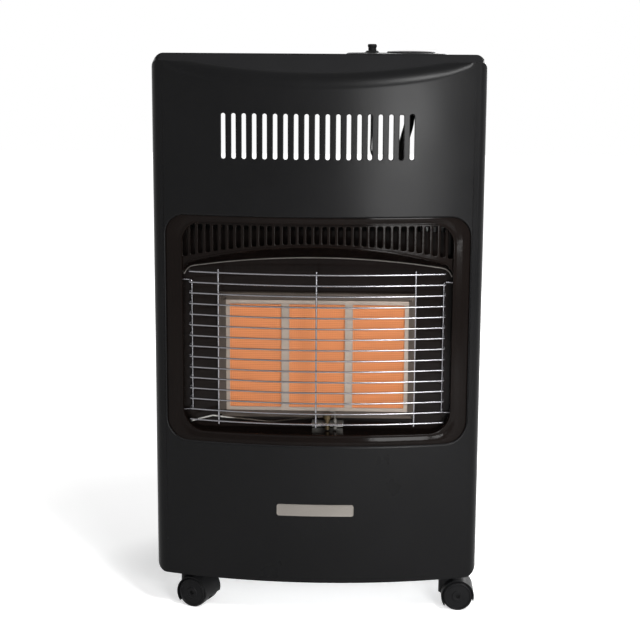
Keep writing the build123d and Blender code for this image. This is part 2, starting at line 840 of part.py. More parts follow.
# ================================================================ wire guard
guard_end_y = front_y + guard_side_setback + guard_wire_radius
with BuildPart() as guard_row:
    with BuildLine(Plane.XY.offset(guard_top_row)) as row_path:
        left = (-guard_bend_x, bow_y(guard_bend_x, guard_setback))
        right = (guard_bend_x, bow_y(guard_bend_x, guard_setback))
        Line((-guard_bend_x, guard_end_y), left)
        ThreePointArc(left, (0, front_y + guard_setback), right)
        Line(right, (guard_bend_x, guard_end_y))
        fillet(row_path.vertices().group_by(Axis.Y)[0], guard_bend_radius)
    with BuildSketch(Plane(origin=row_path.line @ 0, z_dir=row_path.line % 0)):
        Circle(guard_wire_radius)
    sweep(path=row_path.line)

side_end_x = surround_side + 2.5
side_wire_y = front_y + guard_side_setback
with BuildPart() as guard_side:
    with BuildLine():
        FilletPolyline(
            (side_end_x, side_wire_y, guard_hook_top),
            (guard_side_x, side_wire_y, guard_hook_top),
            (guard_side_x, side_wire_y, guard_hook_bottom),
            (side_end_x, side_wire_y, guard_hook_bottom),
            radius=guard_bend_radius,
        )
    with BuildSketch(Plane((side_end_x, side_wire_y, guard_hook_top), z_dir=(-1, 0, 0))):
        Circle(guard_wire_radius)
    sweep()

guard_bottom_row = guard_top_row - (guard_rows - 1) * guard_row_pitch
column_setback = guard_setback + 2 * guard_wire_radius - guard_weld
with BuildPart() as wire_guard:
    add([guard_row.part.moved(Location((0, 0, -i * guard_row_pitch))) for i in range(guard_rows)])
    for x in guard_column_offsets:
        with BuildSketch(Plane.XY.offset(guard_bottom_row - guard_wire_radius)):
            with Locations((x, bow_y(x, column_setback))):
                Circle(guard_wire_radius)
        extrude(amount=guard_top_row - guard_bottom_row + 2 * guard_wire_radius)
    add(guard_side.part)
    add(guard_side.part.mirror(Plane.YZ))
wire_guard.part.label = "wire_guard"
export_step(wire_guard.part, "parts/wire_guard.step")

# ================================================================ burners
plaque_y = front_y + plaque_setback
cavity_width = plaque_width + 2 * plaque_gap
cavity_height = plaque_height + 2 * plaque_gap
box_width = cavity_width + 2 * burner_wall
box_height = cavity_height + 2 * burner_wall
gasket_y = plaque_y + plaque_thickness
seat_y = gasket_y + gasket_thickness
mixing_y = front_y + mixing_tube_setback
gasket_hole_width = plaque_width - 2 * gasket_margin
gasket_hole_height = plaque_height - 2 * gasket_margin
for burner_name, burner_x in zip(("left", "centre", "right"), burner_places):
    # pressed box with a seat for the plaque and a mixing tube down to its injector
    with BuildPart() as burner:
        with BuildSketch(Plane.XZ.offset(-plaque_y)):
            with Locations((burner_x, plaque_middle)):
                Rectangle(box_width, box_height)
        extrude(amount=-burner_depth)
        with BuildSketch(Plane.XZ.offset(-reflector_y - sheet)):
            with Locations((burner_x, plaque_middle)):
                Rectangle(box_width, box_height + 2 * burner_tab)
        extrude(amount=-sheet)
        with BuildSketch(Plane.XY.offset(mixing_tube_bottom)):
            with Locations((burner_x, mixing_y)):
                Circle(mixing_tube_radius)
        extrude(amount=plaque_middle - mixing_tube_bottom)
        with Locations((burner_x, mixing_y, mixing_tube_bottom)):
            Cone(
                bell_radius,
                mixing_tube_radius,
                bell_height,
                align=(Align.CENTER, Align.CENTER, Align.MIN),
            )
        with BuildSketch(Plane.XZ.offset(-plaque_y)):
            with Locations((burner_x, plaque_middle)):
                Rectangle(cavity_width, cavity_height)
        extrude(amount=-plaque_thickness - gasket_thickness, mode=Mode.SUBTRACT)
        with BuildSketch(Plane.XZ.offset(-plaque_y)):
            with Locations((burner_x, plaque_middle)):
                Rectangle(gasket_hole_width, gasket_hole_height)
        extrude(amount=-burner_depth + burner_wall, mode=Mode.SUBTRACT)
        with BuildSketch(Plane.XY.offset(mixing_tube_bottom)):
            with Locations((burner_x, mixing_y)):
                Circle(mixing_tube_radius - burner_wall)
        extrude(amount=plaque_middle - mixing_tube_bottom, mode=Mode.SUBTRACT)
        with Locations((burner_x, mixing_y, mixing_tube_bottom)):
            Cone(
                bell_radius - burner_wall,
                mixing_tube_radius - burner_wall,
                bell_height,
                align=(Align.CENTER, Align.CENTER, Align.MIN),
                mode=Mode.SUBTRACT,
            )
    burner.part.label = f"burner_{burner_name}"
    export_step(burner.part, f"parts/burner_{burner_name}.step")

    with BuildPart() as plaque:
        with BuildSketch(Plane.XZ.offset(-plaque_y)):
            with Locations((burner_x, plaque_middle)):
                Rectangle(plaque_width, plaque_height)
        extrude(amount=-plaque_thickness)
    plaque.part.label = f"ceramic_plaque_{burner_name}"
    export_step(plaque.part, f"parts/ceramic_plaque_{burner_name}.step")

# seals behind the plaques
with BuildPart() as plaque_gaskets:
    with BuildSketch(Plane.XZ.offset(-gasket_y)):
        with Locations(*[(x, plaque_middle) for x in burner_places]):
            Rectangle(plaque_width, plaque_height)
            Rectangle(gasket_hole_width, gasket_hole_height, mode=Mode.SUBTRACT)
    extrude(amount=-gasket_thickness)
plaque_gaskets.part.label = "plaque_gaskets"
export_step(plaque_gaskets.part, "parts/plaque_gaskets.step")

# shallow tray in front of all three burners that holds the plaques in
with BuildPart() as burner_frame:
    with BuildSketch(Plane.XZ.offset(-plaque_y + sheet)):
        with Locations((0, plaque_middle)):
            RectangleRounded(burner_frame_width, burner_frame_height, frame_corner)
    extrude(amount=-sheet)
    with BuildSketch(Plane.XZ.offset(-plaque_y)):
        with Locations((0, plaque_middle)):
            RectangleRounded(burner_frame_width, burner_frame_height, frame_corner)
            RectangleRounded(
                burner_frame_width - 2 * sheet,
                burner_frame_height - 2 * sheet,
                frame_corner - sheet,
                mode=Mode.SUBTRACT,
            )
    extrude(amount=plaque_y - reflector_y)
    with BuildSketch(Plane.XZ.offset(-plaque_y + sheet)):
        with Locations(*[(x, plaque_middle) for x in burner_places]):
            Rectangle(window_width, window_height)
    extrude(amount=-sheet, mode=Mode.SUBTRACT)
burner_frame.part.label = "burner_frame"
export_step(burner_frame.part, "parts/burner_frame.step")

# ================================================================ gas rail, injectors and pipes
rail_top = rail_bottom + rail_size
rail_middle = rail_bottom + rail_size / 2
with BuildPart() as injector_rail:
    with Locations((0, mixing_y, rail_middle)):
        Box(rail_length, rail_size, rail_size)
    tab_depth = partition_y - mixing_y
    with Locations((rail_tab_x, mixing_y + tab_depth / 2, rail_middle)):
        Box(rail_tab_width, tab_depth, 2)
    with Locations((rail_tab_x, partition_y - 1, rail_middle)):
        Box(rail_tab_width, 2, rail_size)
injector_rail.part.label = "injector_rail"
export_step(injector_rail.part, "parts/injector_rail.step")

with BuildPart() as injectors:
    with Locations(*[(x, mixing_y, rail_top) for x in burner_places]):
        Cylinder(injector_radius, injector_height, align=(Align.CENTER, Align.CENTER, Align.MIN))
    with Locations(*[(x, mixing_y, rail_top + injector_height) for x in burner_places]):
        Cylinder(injector_tip_radius, injector_tip_height, align=(Align.CENTER, Align.CENTER, Align.MIN))
injectors.part.label = "injectors"
export_step(injectors.part, "parts/injectors.step")

column_y = front_y + pipe_column
boss_end_x = knob_x + valve_boss_reach
pipe_sides = tube(
    [
        (boss_end_x, control_y, side_boss_height),
        (sides_pipe_x, control_y, side_boss_height),
        (sides_pipe_x, column_y, side_boss_height - side_pipe_drop),
        (sides_pipe_x, column_y, rail_middle),
        (sides_pipe_x, mixing_y, rail_middle),
        (rail_length / 2, mixing_y, rail_middle),
    ],
    pipe_radius,
    pipe_bend,
)
pipe_sides.label = "pipe_sides"
export_step(pipe_sides, "parts/pipe_sides.step")

pipe_centre = tube(
    [
        (boss_end_x, control_y, centre_boss_height),
        (centre_pipe_x, control_y, centre_boss_height),
        (centre_pipe_x, column_y, centre_boss_height - centre_pipe_drop),
        (centre_pipe_x, column_y, rail_middle),
        (centre_entry_x, column_y, rail_middle),
        (centre_entry_x, mixing_y + rail_size / 2, rail_middle),
    ],
    pipe_radius,
    pipe_bend / 2,
)
pipe_centre.label = "pipe_centre"
export_step(pipe_centre, "parts/pipe_centre.step")

pilot_y = front_y + pilot_setback
pilot_boss_y = pilot_y + 6
pipe_pilot = tube(
    [
        (knob_x, control_y - pilot_boss_reach, pilot_boss_height),
        (knob_x, control_y - pilot_boss_reach - 16, pilot_boss_height),
        (pilot_pipe_x, column_y, pilot_boss_height - pilot_pipe_drop),
        (pilot_pipe_x, column_y, rail_run_height),
        (pilot_x, column_y, rail_run_height),
        (pilot_x, column_y, pilot_axis_height),
        (pilot_x, pilot_boss_y, pilot_axis_height),
    ],
    pilot_pipe_radius,
    pipe_bend / 2,
)
pipe_pilot.label = "pipe_pilot"
export_step(pipe_pilot, "parts/pipe_pilot.step")

# ================================================================ pilot flame, spark and flame sensor
with BuildPart() as pilot_burner:
    with BuildSketch(Plane.XY.offset(pilot_axis_height - pilot_radius)):
        with Locations((pilot_x, pilot_y)):
            Circle(pilot_radius)
    extrude(amount=pilot_top - pilot_axis_height + pilot_radius - 1)
    with BuildSketch(Plane.XY.offset(pilot_top - 5)):
        with Locations((pilot_x, pilot_y)):
            Circle(pilot_head_radius)
    extrude(amount=5)
    with BuildSketch(Plane.XZ.offset(-pilot_y)):
        with Locations((pilot_x, pilot_axis_height)):
            Circle(pilot_radius - 0.5)
    extrude(amount=pilot_y - pilot_boss_y)
    with Locations((pilot_x, pilot_y, pilot_top - 1)):
        Box(3 * pilot_head_radius, 1.2, 3, mode=Mode.SUBTRACT)
        Cylinder(1.2, 12, mode=Mode.SUBTRACT)
pilot_burner.part.label = "pilot_burner"
export_step(pilot_burner.part, "parts/pilot_burner.step")

electrode_boss_y = pilot_y + electrode_radius + 1
with BuildPart() as spark_electrode:
    with BuildSketch(Plane.XY.offset(pilot_axis_height - electrode_radius)):
        with Locations((electrode_x, pilot_y)):
            Circle(electrode_radius)
    extrude(amount=electrode_top - pilot_axis_height + electrode_radius)
    with BuildSketch(Plane.XZ.offset(-pilot_y)):
        with Locations((electrode_x, pilot_axis_height)):
            Circle(lead_radius + 0.4)
    extrude(amount=pilot_y - electrode_boss_y)
    with BuildLine():
        wire_top = pilot_top + 4
        FilletPolyline(
            (electrode_x, pilot_y, electrode_top - 1),
            (electrode_x, pilot_y, wire_top),
            (pilot_x + pilot_head_radius - 2, pilot_y, wire_top),
            radius=2,
        )
    with BuildSketch(Plane.XY.offset(electrode_top - 1)):
        with Locations((electrode_x, pilot_y)):
            Circle(electrode_wire)
    sweep()
spark_electrode.part.label = "spark_electrode"
export_step(spark_electrode.part, "parts/spark_electrode.step")

bracket_width_x = pilot_bracket_right - pilot_bracket_left
bracket_middle_x = (pilot_bracket_right + pilot_bracket_left) / 2
bracket_front_y = pilot_y - pilot_radius - 2.5
with BuildPart() as pilot_bracket:
    with Locations((bracket_middle_x, (bracket_front_y + reflector_y) / 2, bracket_plate_bottom + sheet / 2)):
        Box(bracket_width_x, reflector_y - bracket_front_y, sheet)
    flange_bottom = surround_opening_bottom + 1
    with Locations(
        (bracket_middle_x, reflector_y - sheet / 2, (flange_bottom + bracket_plate_bottom + sheet) / 2)
    ):
        Box(bracket_width_x, sheet, bracket_plate_bottom + sheet - flange_bottom)
    with Locations((pilot_x, pilot_y, bracket_plate_bottom)):
        Cylinder(pilot_radius + 0.1, 6 * sheet, mode=Mode.SUBTRACT)
    with Locations((electrode_x, pilot_y, bracket_plate_bottom)):
        Cylinder(electrode_radius + 0.1, 6 * sheet, mode=Mode.SUBTRACT)
    with Locations(Plane((pilot_x, reflector_y, pilot_axis_height), z_dir=(0, 1, 0))):
        Cylinder(pilot_pipe_radius + lead_hole_margin, 6 * sheet, mode=Mode.SUBTRACT)
    with Locations(Plane((electrode_x, reflector_y, pilot_axis_height), z_dir=(0, 1, 0))):
        Cylinder(lead_radius + lead_hole_margin, 6 * sheet, mode=Mode.SUBTRACT)
pilot_bracket.part.label = "pilot_bracket"
export_step(pilot_bracket.part, "parts/pilot_bracket.step")

# flame sensor: from the front of the burners, through the reflector, and up to the valve
thermocouple_lead = tube(
    [
        (2, front_y + 26, 266),
        (-60, front_y + 28, 258),
        (-117, front_y + 22, 265),
        (-133, front_y + 22, 267),
        (lead_entry_x + 4, front_y + 25, 259),
        (lead_entry_x, front_y + 36, lead_entry_height),
        (lead_entry_x, front_y + 60, lead_entry_height),
        (lead_entry_x + 3, front_y + 80, 205),
        (half_width - 44, front_y + 78, 205),
        (half_width - 39, column_y, 226),
        (half_width - 39, column_y, cabinet_height - 95),
        (knob_x + 6, control_y - sensor_boss_reach - 24, sensor_boss_height),
        (knob_x, control_y - sensor_boss_reach - 14, sensor_boss_height),
        (knob_x, control_y - sensor_boss_reach, sensor_boss_height),
    ],
    lead_radius,
    [40, 30, 8, 8, 8, 8, 8, 10, 10, 20, 5, 4],
)
thermocouple_lead.label = "thermocouple_lead"
export_step(thermocouple_lead, "parts/thermocouple_lead.step")

# spark lead: from the piezo unit, over the partition, and down to the electrode
igniter_lead = tube(
    [
        (button_x, control_y, piezo_bottom - piezo_terminal),
        (button_x, control_y, cabinet_height - 102),
        (button_x - 0.7, control_y - 4.2, cabinet_height - 126),
        (button_x + 9, control_y - 14, cabinet_height - 140),
        (button_x + 23, control_y - 28, cabinet_height - 154),
        (button_x + 52, control_y - 49, partition_top - 12),
        (button_x + 61, control_y - 65, partition_top - 4),
        (half_width - 79, control_y - 82, partition_top + 7),
        (half_width - 78, column_y, partition_top),
        (half_width - 78, column_y, 240),
        (half_width - 110, column_y - 4, 226),
        (32, column_y - 18, 232),
        (electrode_x, front_y + 58, pilot_axis_height),
        (electrode_x, electrode_boss_y, pilot_axis_height),
    ],
    lead_radius,
    [30, 20, 10, 40, 6, 10, 8, 6, 10, 10, 8, 6],
)
igniter_lead.label = "igniter_lead"
export_step(igniter_lead, "parts/igniter_lead.step")

# ================================================================ gas valve under the knob
with BuildPart() as valve_body:
    with BuildSketch(Plane.XY.offset(valve_bottom)):
        with Locations((knob_x, control_y)):
            Circle(valve_radius)
    extrude(amount=valve_top - valve_flange - valve_bottom)
    with BuildSketch(Plane.XY.offset(valve_top - valve_flange)):
        with Locations((knob_x, control_y)):
            RectangleRounded(valve_flange_length, valve_flange_width, 4)
    extrude(amount=valve_flange)
    with BuildSketch(Plane.XY.offset(valve_top)):
        with Locations((knob_x, control_y)):
            Circle(neck_radius)
    extrude(amount=neck_top - valve_top)
    # outlets to the burners on one side, to the pilot and the flame sensor in front
    with BuildSketch(Plane.YZ.offset(knob_x)):
        with Locations((control_y, side_boss_height), (control_y, centre_boss_height)):
            Circle(pipe_radius + 2)
    extrude(amount=valve_boss_reach)
    with BuildSketch(Plane.XZ.offset(-control_y)):
        with Locations((knob_x, pilot_boss_height)):
            Circle(pilot_pipe_radius + 1.5)
    extrude(amount=pilot_boss_reach)
    with BuildSketch(Plane.XZ.offset(-control_y)):
        with Locations((knob_x, sensor_boss_height)):
            Circle(lead_radius + 2.8)
    extrude(amount=sensor_boss_reach)
    with BuildSketch(Plane.XY.offset(valve_bore_bottom)):
        with Locations((knob_x, control_y)):
            Circle(spindle_radius + bore_clearance)
    extrude(amount=neck_top - valve_bore_bottom, mode=Mode.SUBTRACT)
valve_body.part.label = "valve_body"
export_step(valve_body.part, "parts/valve_body.step")

with BuildPart() as valve_plunger:
    with BuildSketch(Plane.XY.offset(plunger_bottom)):
        with Locations((knob_x, control_y)):
            Circle(spindle_radius)
    extrude(amount=spindle_bottom - plunger_bottom)
valve_plunger.part.label = "valve_plunger"
export_step(valve_plunger.part, "parts/valve_plunger.step")

# spring that lifts the plunger, the spindle and the knob
spring_bottom = valve_bore_bottom + spring_wire + 0.05
spring_height = plunger_bottom - valve_bore_bottom - 2 * spring_wire - 0.1
with BuildPart() as valve_spring:
    with BuildLine(Plane((knob_x, control_y, spring_bottom))) as coil:
        Helix(spring_height / spring_turns, spring_height, spring_radius)
    with BuildSketch(Plane(origin=coil.line @ 0, z_dir=coil.line % 0)):
        Circle(spring_wire)
    sweep(is_frenet=True)
valve_spring.part.label = "valve_spring"
export_step(valve_spring.part, "parts/valve_spring.step")

with BuildPart() as spindle:
    with BuildSketch(Plane.XY.offset(spindle_bottom)):
        with Locations((knob_x, control_y)):
            Circle(spindle_radius)
    extrude(amount=spindle_top - spindle_bottom)
spindle.part.label = "spindle"
export_step(spindle.part, "parts/spindle.step")

# knob with a grip bar left standing between two scooped recesses
with BuildPart() as control_knob:
    with BuildSketch(Plane.XY.offset(knob_bottom)):
        with Locations((knob_x, control_y)):
            Circle(knob_radius)
    extrude(amount=knob_top - knob_bottom)
    fillet(control_knob.edges().group_by(Axis.Z)[-1], knob_round)
    with BuildSketch(Plane.XY.offset(knob_top)):
        with Locations((knob_x, control_y)):
            Circle(knob_radius - knob_rim)
            Rectangle(2 * knob_radius, grip_width, mode=Mode.SUBTRACT)
    extrude(amount=-grip_depth, taper=12, mode=Mode.SUBTRACT)
    with BuildSketch(Plane.XY.offset(knob_bottom)):
        with Locations((knob_x, control_y)):
            Circle(spindle_radius)
    extrude(amount=spindle_top - knob_bottom, mode=Mode.SUBTRACT)
control_knob.part.label = "control_knob"
export_step(control_knob.part, "parts/control_knob.step")

# folded strap under the lid that carries the valve
roof = cabinet_height - sheet
with BuildPart() as valve_bracket:
    with Locations((knob_x, control_y, valve_top + bracket_sheet / 2)):
        Box(bracket_width, 2 * bracket_reach, bracket_sheet)
    for side_sign in (-1, 1):
        leg_y = control_y + side_sign * (bracket_reach - bracket_sheet / 2)
        with Locations((knob_x, leg_y, (valve_top + roof) / 2)):
            Box(bracket_width, bracket_sheet, roof - valve_top)
        foot_y = control_y + side_sign * (bracket_reach + bracket_foot / 2 - bracket_sheet / 2)
        with Locations((knob_x, foot_y, roof - bracket_sheet / 2)):
            Box(bracket_width, bracket_foot + bracket_sheet, bracket_sheet)
    with Locations((knob_x, control_y, valve_top)):
        Cylinder(neck_radius + 0.3, 6 * bracket_sheet, mode=Mode.SUBTRACT)
valve_bracket.part.label = "valve_bracket"
export_step(valve_bracket.part, "parts/valve_bracket.step")

# ================================================================ control bezel and igniter
bezel_length = bezel_right - bezel_left
bezel_middle = (bezel_right + bezel_left) / 2
bezel_top = cabinet_height + bezel_rise
with BuildPart() as control_bezel:
    with BuildSketch(Plane.XY.offset(cabinet_height)):
        with Locations((bezel_middle, control_y)):
            SlotOverall(bezel_length, bezel_width)
    extrude(amount=bezel_rise)
    fillet(control_bezel.edges().group_by(Axis.Z)[-1], bezel_round)
    with BuildSketch(Plane.XY.offset(cabinet_height)):
        with Locations((bezel_middle, control_y)):
            SlotOverall(bezel_length - 2 * bezel_wall, bezel_width - 2 * bezel_wall)
    extrude(amount=bezel_rise - bezel_wall, taper=30, mode=Mode.SUBTRACT)
    with BuildSketch(Plane.XY.offset(bowl_floor)):
        with Locations((knob_x, control_y)):
            Circle(bowl_radius)
    extrude(amount=bezel_top - 1 - bowl_floor)
    with BuildSketch(Plane.XY.offset(guide_bottom)):
        with Locations((button_x, control_y)):
            Circle(guide_outer)
    extrude(amount=bezel_top - 1 - guide_bottom)
    with Locations((button_x, control_y, bezel_top)):
        Cone(
            boss_base_radius,
            boss_top_radius,
            boss_top - bezel_top,
            align=(Align.CENTER, Align.CENTER, Align.MIN),
        )
    with BuildSketch(Plane.XY.offset(bowl_floor + bowl_wall)):
        with Locations((knob_x, control_y)):
            Circle(bowl_radius - bowl_wall)
    extrude(amount=bezel_rise + 2 * bowl_radius, mode=Mode.SUBTRACT)
    with BuildSketch(Plane.XY.offset(bowl_floor)):
        with Locations((knob_x, control_y)):
            Circle(spindle_radius + 1)
    extrude(amount=bowl_wall, mode=Mode.SUBTRACT)
    with BuildSketch(Plane.XY.offset(guide_bottom)):
        with Locations((button_x, control_y)):
            Circle(guide_inner)
    extrude(amount=boss_top - guide_bottom, mode=Mode.SUBTRACT)
control_bezel.part.label = "control_bezel"
export_step(control_bezel.part, "parts/control_bezel.step")

with BuildPart() as piezo_body:
    with BuildSketch(Plane.XY.offset(piezo_bottom)):
        with Locations((button_x, control_y)):
            Circle(guide_outer)
    extrude(amount=guide_bottom - piezo_bottom)
    with BuildSketch(Plane.XY.offset(piezo_bottom - piezo_terminal)):
        with Locations((button_x, control_y)):
            Circle(2)
    extrude(amount=piezo_terminal)
    with BuildSketch(Plane.XY.offset(piezo_bore_bottom)):
        with Locations((button_x, control_y)):
            Circle(button_stem_radius + bore_clearance)
    extrude(amount=guide_bottom - piezo_bore_bottom, mode=Mode.SUBTRACT)
piezo_body.part.label = "piezo_body"
export_step(piezo_body.part, "parts/piezo_body.step")

with BuildPart() as igniter_button:
    with BuildSketch(Plane.XY.offset(button_skirt)):
        with Locations((button_x, control_y)):
            Circle(button_radius)
    extrude(amount=button_top - button_skirt)
    fillet(igniter_button.edges().group_by(Axis.Z)[-1], 1)
    with BuildSketch(Plane.XY.offset(button_stem_bottom)):
        with Locations((button_x, control_y)):
            Circle(button_stem_radius)
    extrude(amount=button_skirt - button_stem_bottom)
igniter_button.part.label = "igniter_button"
export_step(igniter_button.part, "parts/igniter_button.step")

# ring nut that clamps the bezel to the lid
with BuildPart() as igniter_nut:
    with BuildSketch(Plane.XY.offset(nut_bottom)):
        with Locations((button_x, control_y)):
            RegularPolygon(nut_radius, 6)
            Circle(guide_outer + bore_clearance, mode=Mode.SUBTRACT)
    extrude(amount=roof - nut_bottom)
igniter_nut.part.label = "igniter_nut"
export_step(igniter_nut.part, "parts/igniter_nut.step")

# ================================================================ gas inlet, hose and regulator
with BuildPart() as inlet_nozzle:
    with BuildSketch(Plane.XY.offset(nozzle_shoulder)):
        with Locations((knob_x, control_y)):
            Circle(nozzle_radius)
    extrude(amount=valve_bottom - nozzle_shoulder)
    with BuildSketch(Plane.XY.offset(nozzle_shoulder - barb_length)):
        with Locations((knob_x, control_y)):
            Circle(barb_radius)
    extrude(amount=barb_length)
inlet_nozzle.part.label = "inlet_nozzle"
export_step(inlet_nozzle.part, "parts/inlet_nozzle.step")

# one length of rubber hose; each bend is as wide as its runs allow
outlet_height = base_top + regulator_outlet_height
shoulder_y = regulator_y - regulator_radius - regulator_shoulder
# from the valve's nozzle down the right-hand wall to the regulator's outlet
hose_points = [
    (knob_x, control_y, nozzle_shoulder),
    (knob_x, control_y, nozzle_shoulder - 28),
    (knob_x - 5, control_y, nozzle_shoulder - 58),
    (knob_x, control_y + 1, nozzle_shoulder - 88),
    (knob_x + 17, control_y + 3, nozzle_shoulder - 115),
    (knob_x + 39, control_y + 6, nozzle_shoulder - 144),
    (regulator_x - 6, control_y + 8, nozzle_shoulder - 178),
    (regulator_x + 2, control_y + 9, nozzle_shoulder - 220),
    (regulator_x + 5, control_y + 7, 380),
    (regulator_x + 4, control_y + 3, 305),
    (regulator_x + 2, control_y - 3, 238),
    (regulator_x + 2, control_y - 5, 180),
    (regulator_x + 1, shoulder_y - 90, 128),
    (regulator_x + 0.5, shoulder_y - 78.9, 100.2),
    (regulator_x, shoulder_y - 57.7, 79),
    (regulator_x, shoulder_y - 30, outlet_height),
    (regulator_x, shoulder_y, outlet_height),
]
hose_bends = []
hose_length = 0
for before, corner, after in zip(hose_points, hose_points[1:], hose_points[2:]):
    run_in = Vector(*corner) - Vector(*before)
    run_out = Vector(*after) - Vector(*corner)
    half_turn = radians(run_in.get_angle(run_out)) / 2
    bend = 0.45 * min(run_in.length, run_out.length) / tan(half_turn)
    hose_bends.append(bend)
    hose_length += run_in.length - 2 * bend * tan(half_turn) + 2 * bend * half_turn
hose_length += (Vector(*hose_points[-1]) - Vector(*hose_points[-2])).length
print("hose bend radii", [round(bend) for bend in hose_bends], "length", round(hose_length))
with BuildPart() as gas_hose:
    with BuildLine() as hose_path:
        FilletPolyline(*hose_points, radius=hose_bends)
    with BuildSketch(Plane(origin=hose_path.line @ 0, z_dir=hose_path.line % 0)):
        Circle(hose_radius)
        Circle(hose_bore_radius, mode=Mode.SUBTRACT)
    sweep(path=hose_path.line)
gas_hose.part.label = "gas_hose"
export_step(gas_hose.part, "parts/gas_hose.step")
print("hose volume", gas_hose.part.volume, pi * (hose_radius**2 - hose_bore_radius**2) * hose_length)

clamp_inner = hose_radius + clamp_clearance
with BuildPart() as hose_clamps:
    for clamp_plane in (
        Plane((knob_x, control_y, nozzle_shoulder - clamp_offset), z_dir=(0, 0, -1)),
        Plane((regulator_x, shoulder_y - clamp_offset, outlet_height), x_dir=(0, 0, 1), z_dir=(0, -1, 0)),
    ):
        with BuildSketch(clamp_plane):
            Circle(clamp_inner + clamp_wall)
            with Locations((clamp_inner + 3, 0)):
                Rectangle(6, 5)
            Circle(clamp_inner, mode=Mode.SUBTRACT)
        extrude(amount=clamp_width)
hose_clamps.part.label = "hose_clamps"
export_step(hose_clamps.part, "parts/hose_clamps.step")

# cylinder regulator, parked on the floor pan
drum_bottom = base_top + regulator_foot_height
drum_top = drum_bottom + regulator_drum_height
dome_top = drum_top + regulator_dome_height
with BuildPart() as regulator_body:
    with Locations((regulator_x, regulator_y, base_top)):
        Cylinder(regulator_foot_radius, regulator_foot_height, align=(Align.CENTER, Align.CENTER, Align.MIN))
    with Locations((regulator_x, regulator_y, drum_bottom)):
        Cylinder(regulator_radius, regulator_drum_height, align=(Align.CENTER, Align.CENTER, Align.MIN))
    with Locations((regulator_x, regulator_y, drum_top)):
        Cone(
            regulator_radius,
            regulator_dome_radius,
            regulator_dome_height,
            align=(Align.CENTER, Align.CENTER, Align.MIN),
        )
    with BuildSketch(Plane.XZ.offset(-regulator_y)):
        with Locations((regulator_x, outlet_height)):
            Circle(regulator_outlet_radius)
    extrude(amount=regulator_y - shoulder_y)
    with BuildSketch(Plane.XZ.offset(-shoulder_y)):
        with Locations((regulator_x, outlet_height)):
            Circle(barb_radius)
    extrude(amount=barb_length)
    with BuildSketch(Plane.XY.offset(dome_top)):
        with Locations((regulator_x, regulator_y)):
            Circle(tap_shaft_radius + bore_clearance)
    extrude(amount=-tap_shaft_depth, mode=Mode.SUBTRACT)
regulator_body.part.label = "regulator_body"
export_step(regulator_body.part, "parts/regulator_body.step")

with BuildPart() as regulator_tap:
    with BuildSketch(Plane.XY.offset(dome_top + tap_gap)):
        with Locations((regulator_x, regulator_y)):
            Circle(tap_radius)
            Rectangle(2 * tap_radius + 6, 7)
    extrude(amount=tap_height)
    with BuildSketch(Plane.XY.offset(dome_top + tap_gap)):
        with Locations((regulator_x, regulator_y)):
            Circle(tap_shaft_radius)
    extrude(amount=-tap_shaft_depth)
regulator_tap.part.label = "regulator_tap"
export_step(regulator_tap.part, "parts/regulator_tap.step")
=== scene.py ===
import math

import bmesh
import bpy
from mathutils import Matrix, Vector


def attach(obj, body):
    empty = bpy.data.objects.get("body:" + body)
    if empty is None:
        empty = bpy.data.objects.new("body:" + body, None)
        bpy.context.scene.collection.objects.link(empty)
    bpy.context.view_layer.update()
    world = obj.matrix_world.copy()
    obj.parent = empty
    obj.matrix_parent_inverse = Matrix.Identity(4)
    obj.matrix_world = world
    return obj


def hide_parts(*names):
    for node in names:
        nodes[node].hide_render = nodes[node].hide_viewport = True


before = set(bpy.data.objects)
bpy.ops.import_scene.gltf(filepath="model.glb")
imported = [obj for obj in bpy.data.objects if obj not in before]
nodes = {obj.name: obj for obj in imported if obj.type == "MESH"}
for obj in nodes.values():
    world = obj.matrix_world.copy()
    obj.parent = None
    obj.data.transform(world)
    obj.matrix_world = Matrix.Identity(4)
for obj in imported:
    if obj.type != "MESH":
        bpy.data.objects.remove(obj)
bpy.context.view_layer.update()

# The photographer's camera: a long lens about two metres in front of the heater, a little above its
# lid and looking down at it, with the picture's right side a third of a degree low.
camera_place = Vector((0.0731, -2.1187, 0.7682))
camera_left = math.radians(2.034)
camera_down = math.radians(10.909)
camera_roll = math.radians(-0.35)
camera_data = bpy.data.cameras.new("camera")
camera_data.lens = 87.51
camera_data.sensor_width = 36
camera_data.clip_end = 50
camera = bpy.data.objects.new("camera", camera_data)
bpy.context.scene.collection.objects.link(camera)
bpy.context.scene.camera = camera
camera.matrix_world = (
    Matrix.Translation(camera_place)
    @ Matrix.Rotation(camera_left, 4, "Z")
    @ Matrix.Rotation(math.pi / 2 - camera_down, 4, "X")
    @ Matrix.Rotation(-camera_roll, 4, "Z")
)

# The room: a white world and a pale floor that run into one another. What the camera, metal and
# glass see of them is white, and the floor still darkens where the heater keeps the lamps off it.
scene = bpy.context.scene
scene.view_settings.view_transform = "Standard"
room_light = 0.26
floor_glow = 0.50


def add_node(tree, kind, feeds=None, values=None, **settings):
    """Adds a shader node with these settings, input values and feeds from other nodes' outputs."""
    new = tree.nodes.new(f"ShaderNode{kind}")
    for name, value in settings.items():
        setattr(new, name, value)
    for socket, value in (values or {}).items():
        new.inputs[socket].default_value = value
    for socket, output in (feeds or {}).items():
        tree.links.new(output, new.inputs[socket])
    return new


def seen_directly(tree):
    """A value that is 1 where a camera, glossy or transmission ray arrives, and 0 elsewhere."""
    path = add_node(tree, "LightPath").outputs
    seen = path["Is Camera Ray"]
    for ray in ("Is Glossy Ray", "Is Transmission Ray"):
        seen = add_node(tree, "Math", {0: seen, 1: path[ray]}, operation="MAXIMUM").outputs[0]
    return seen


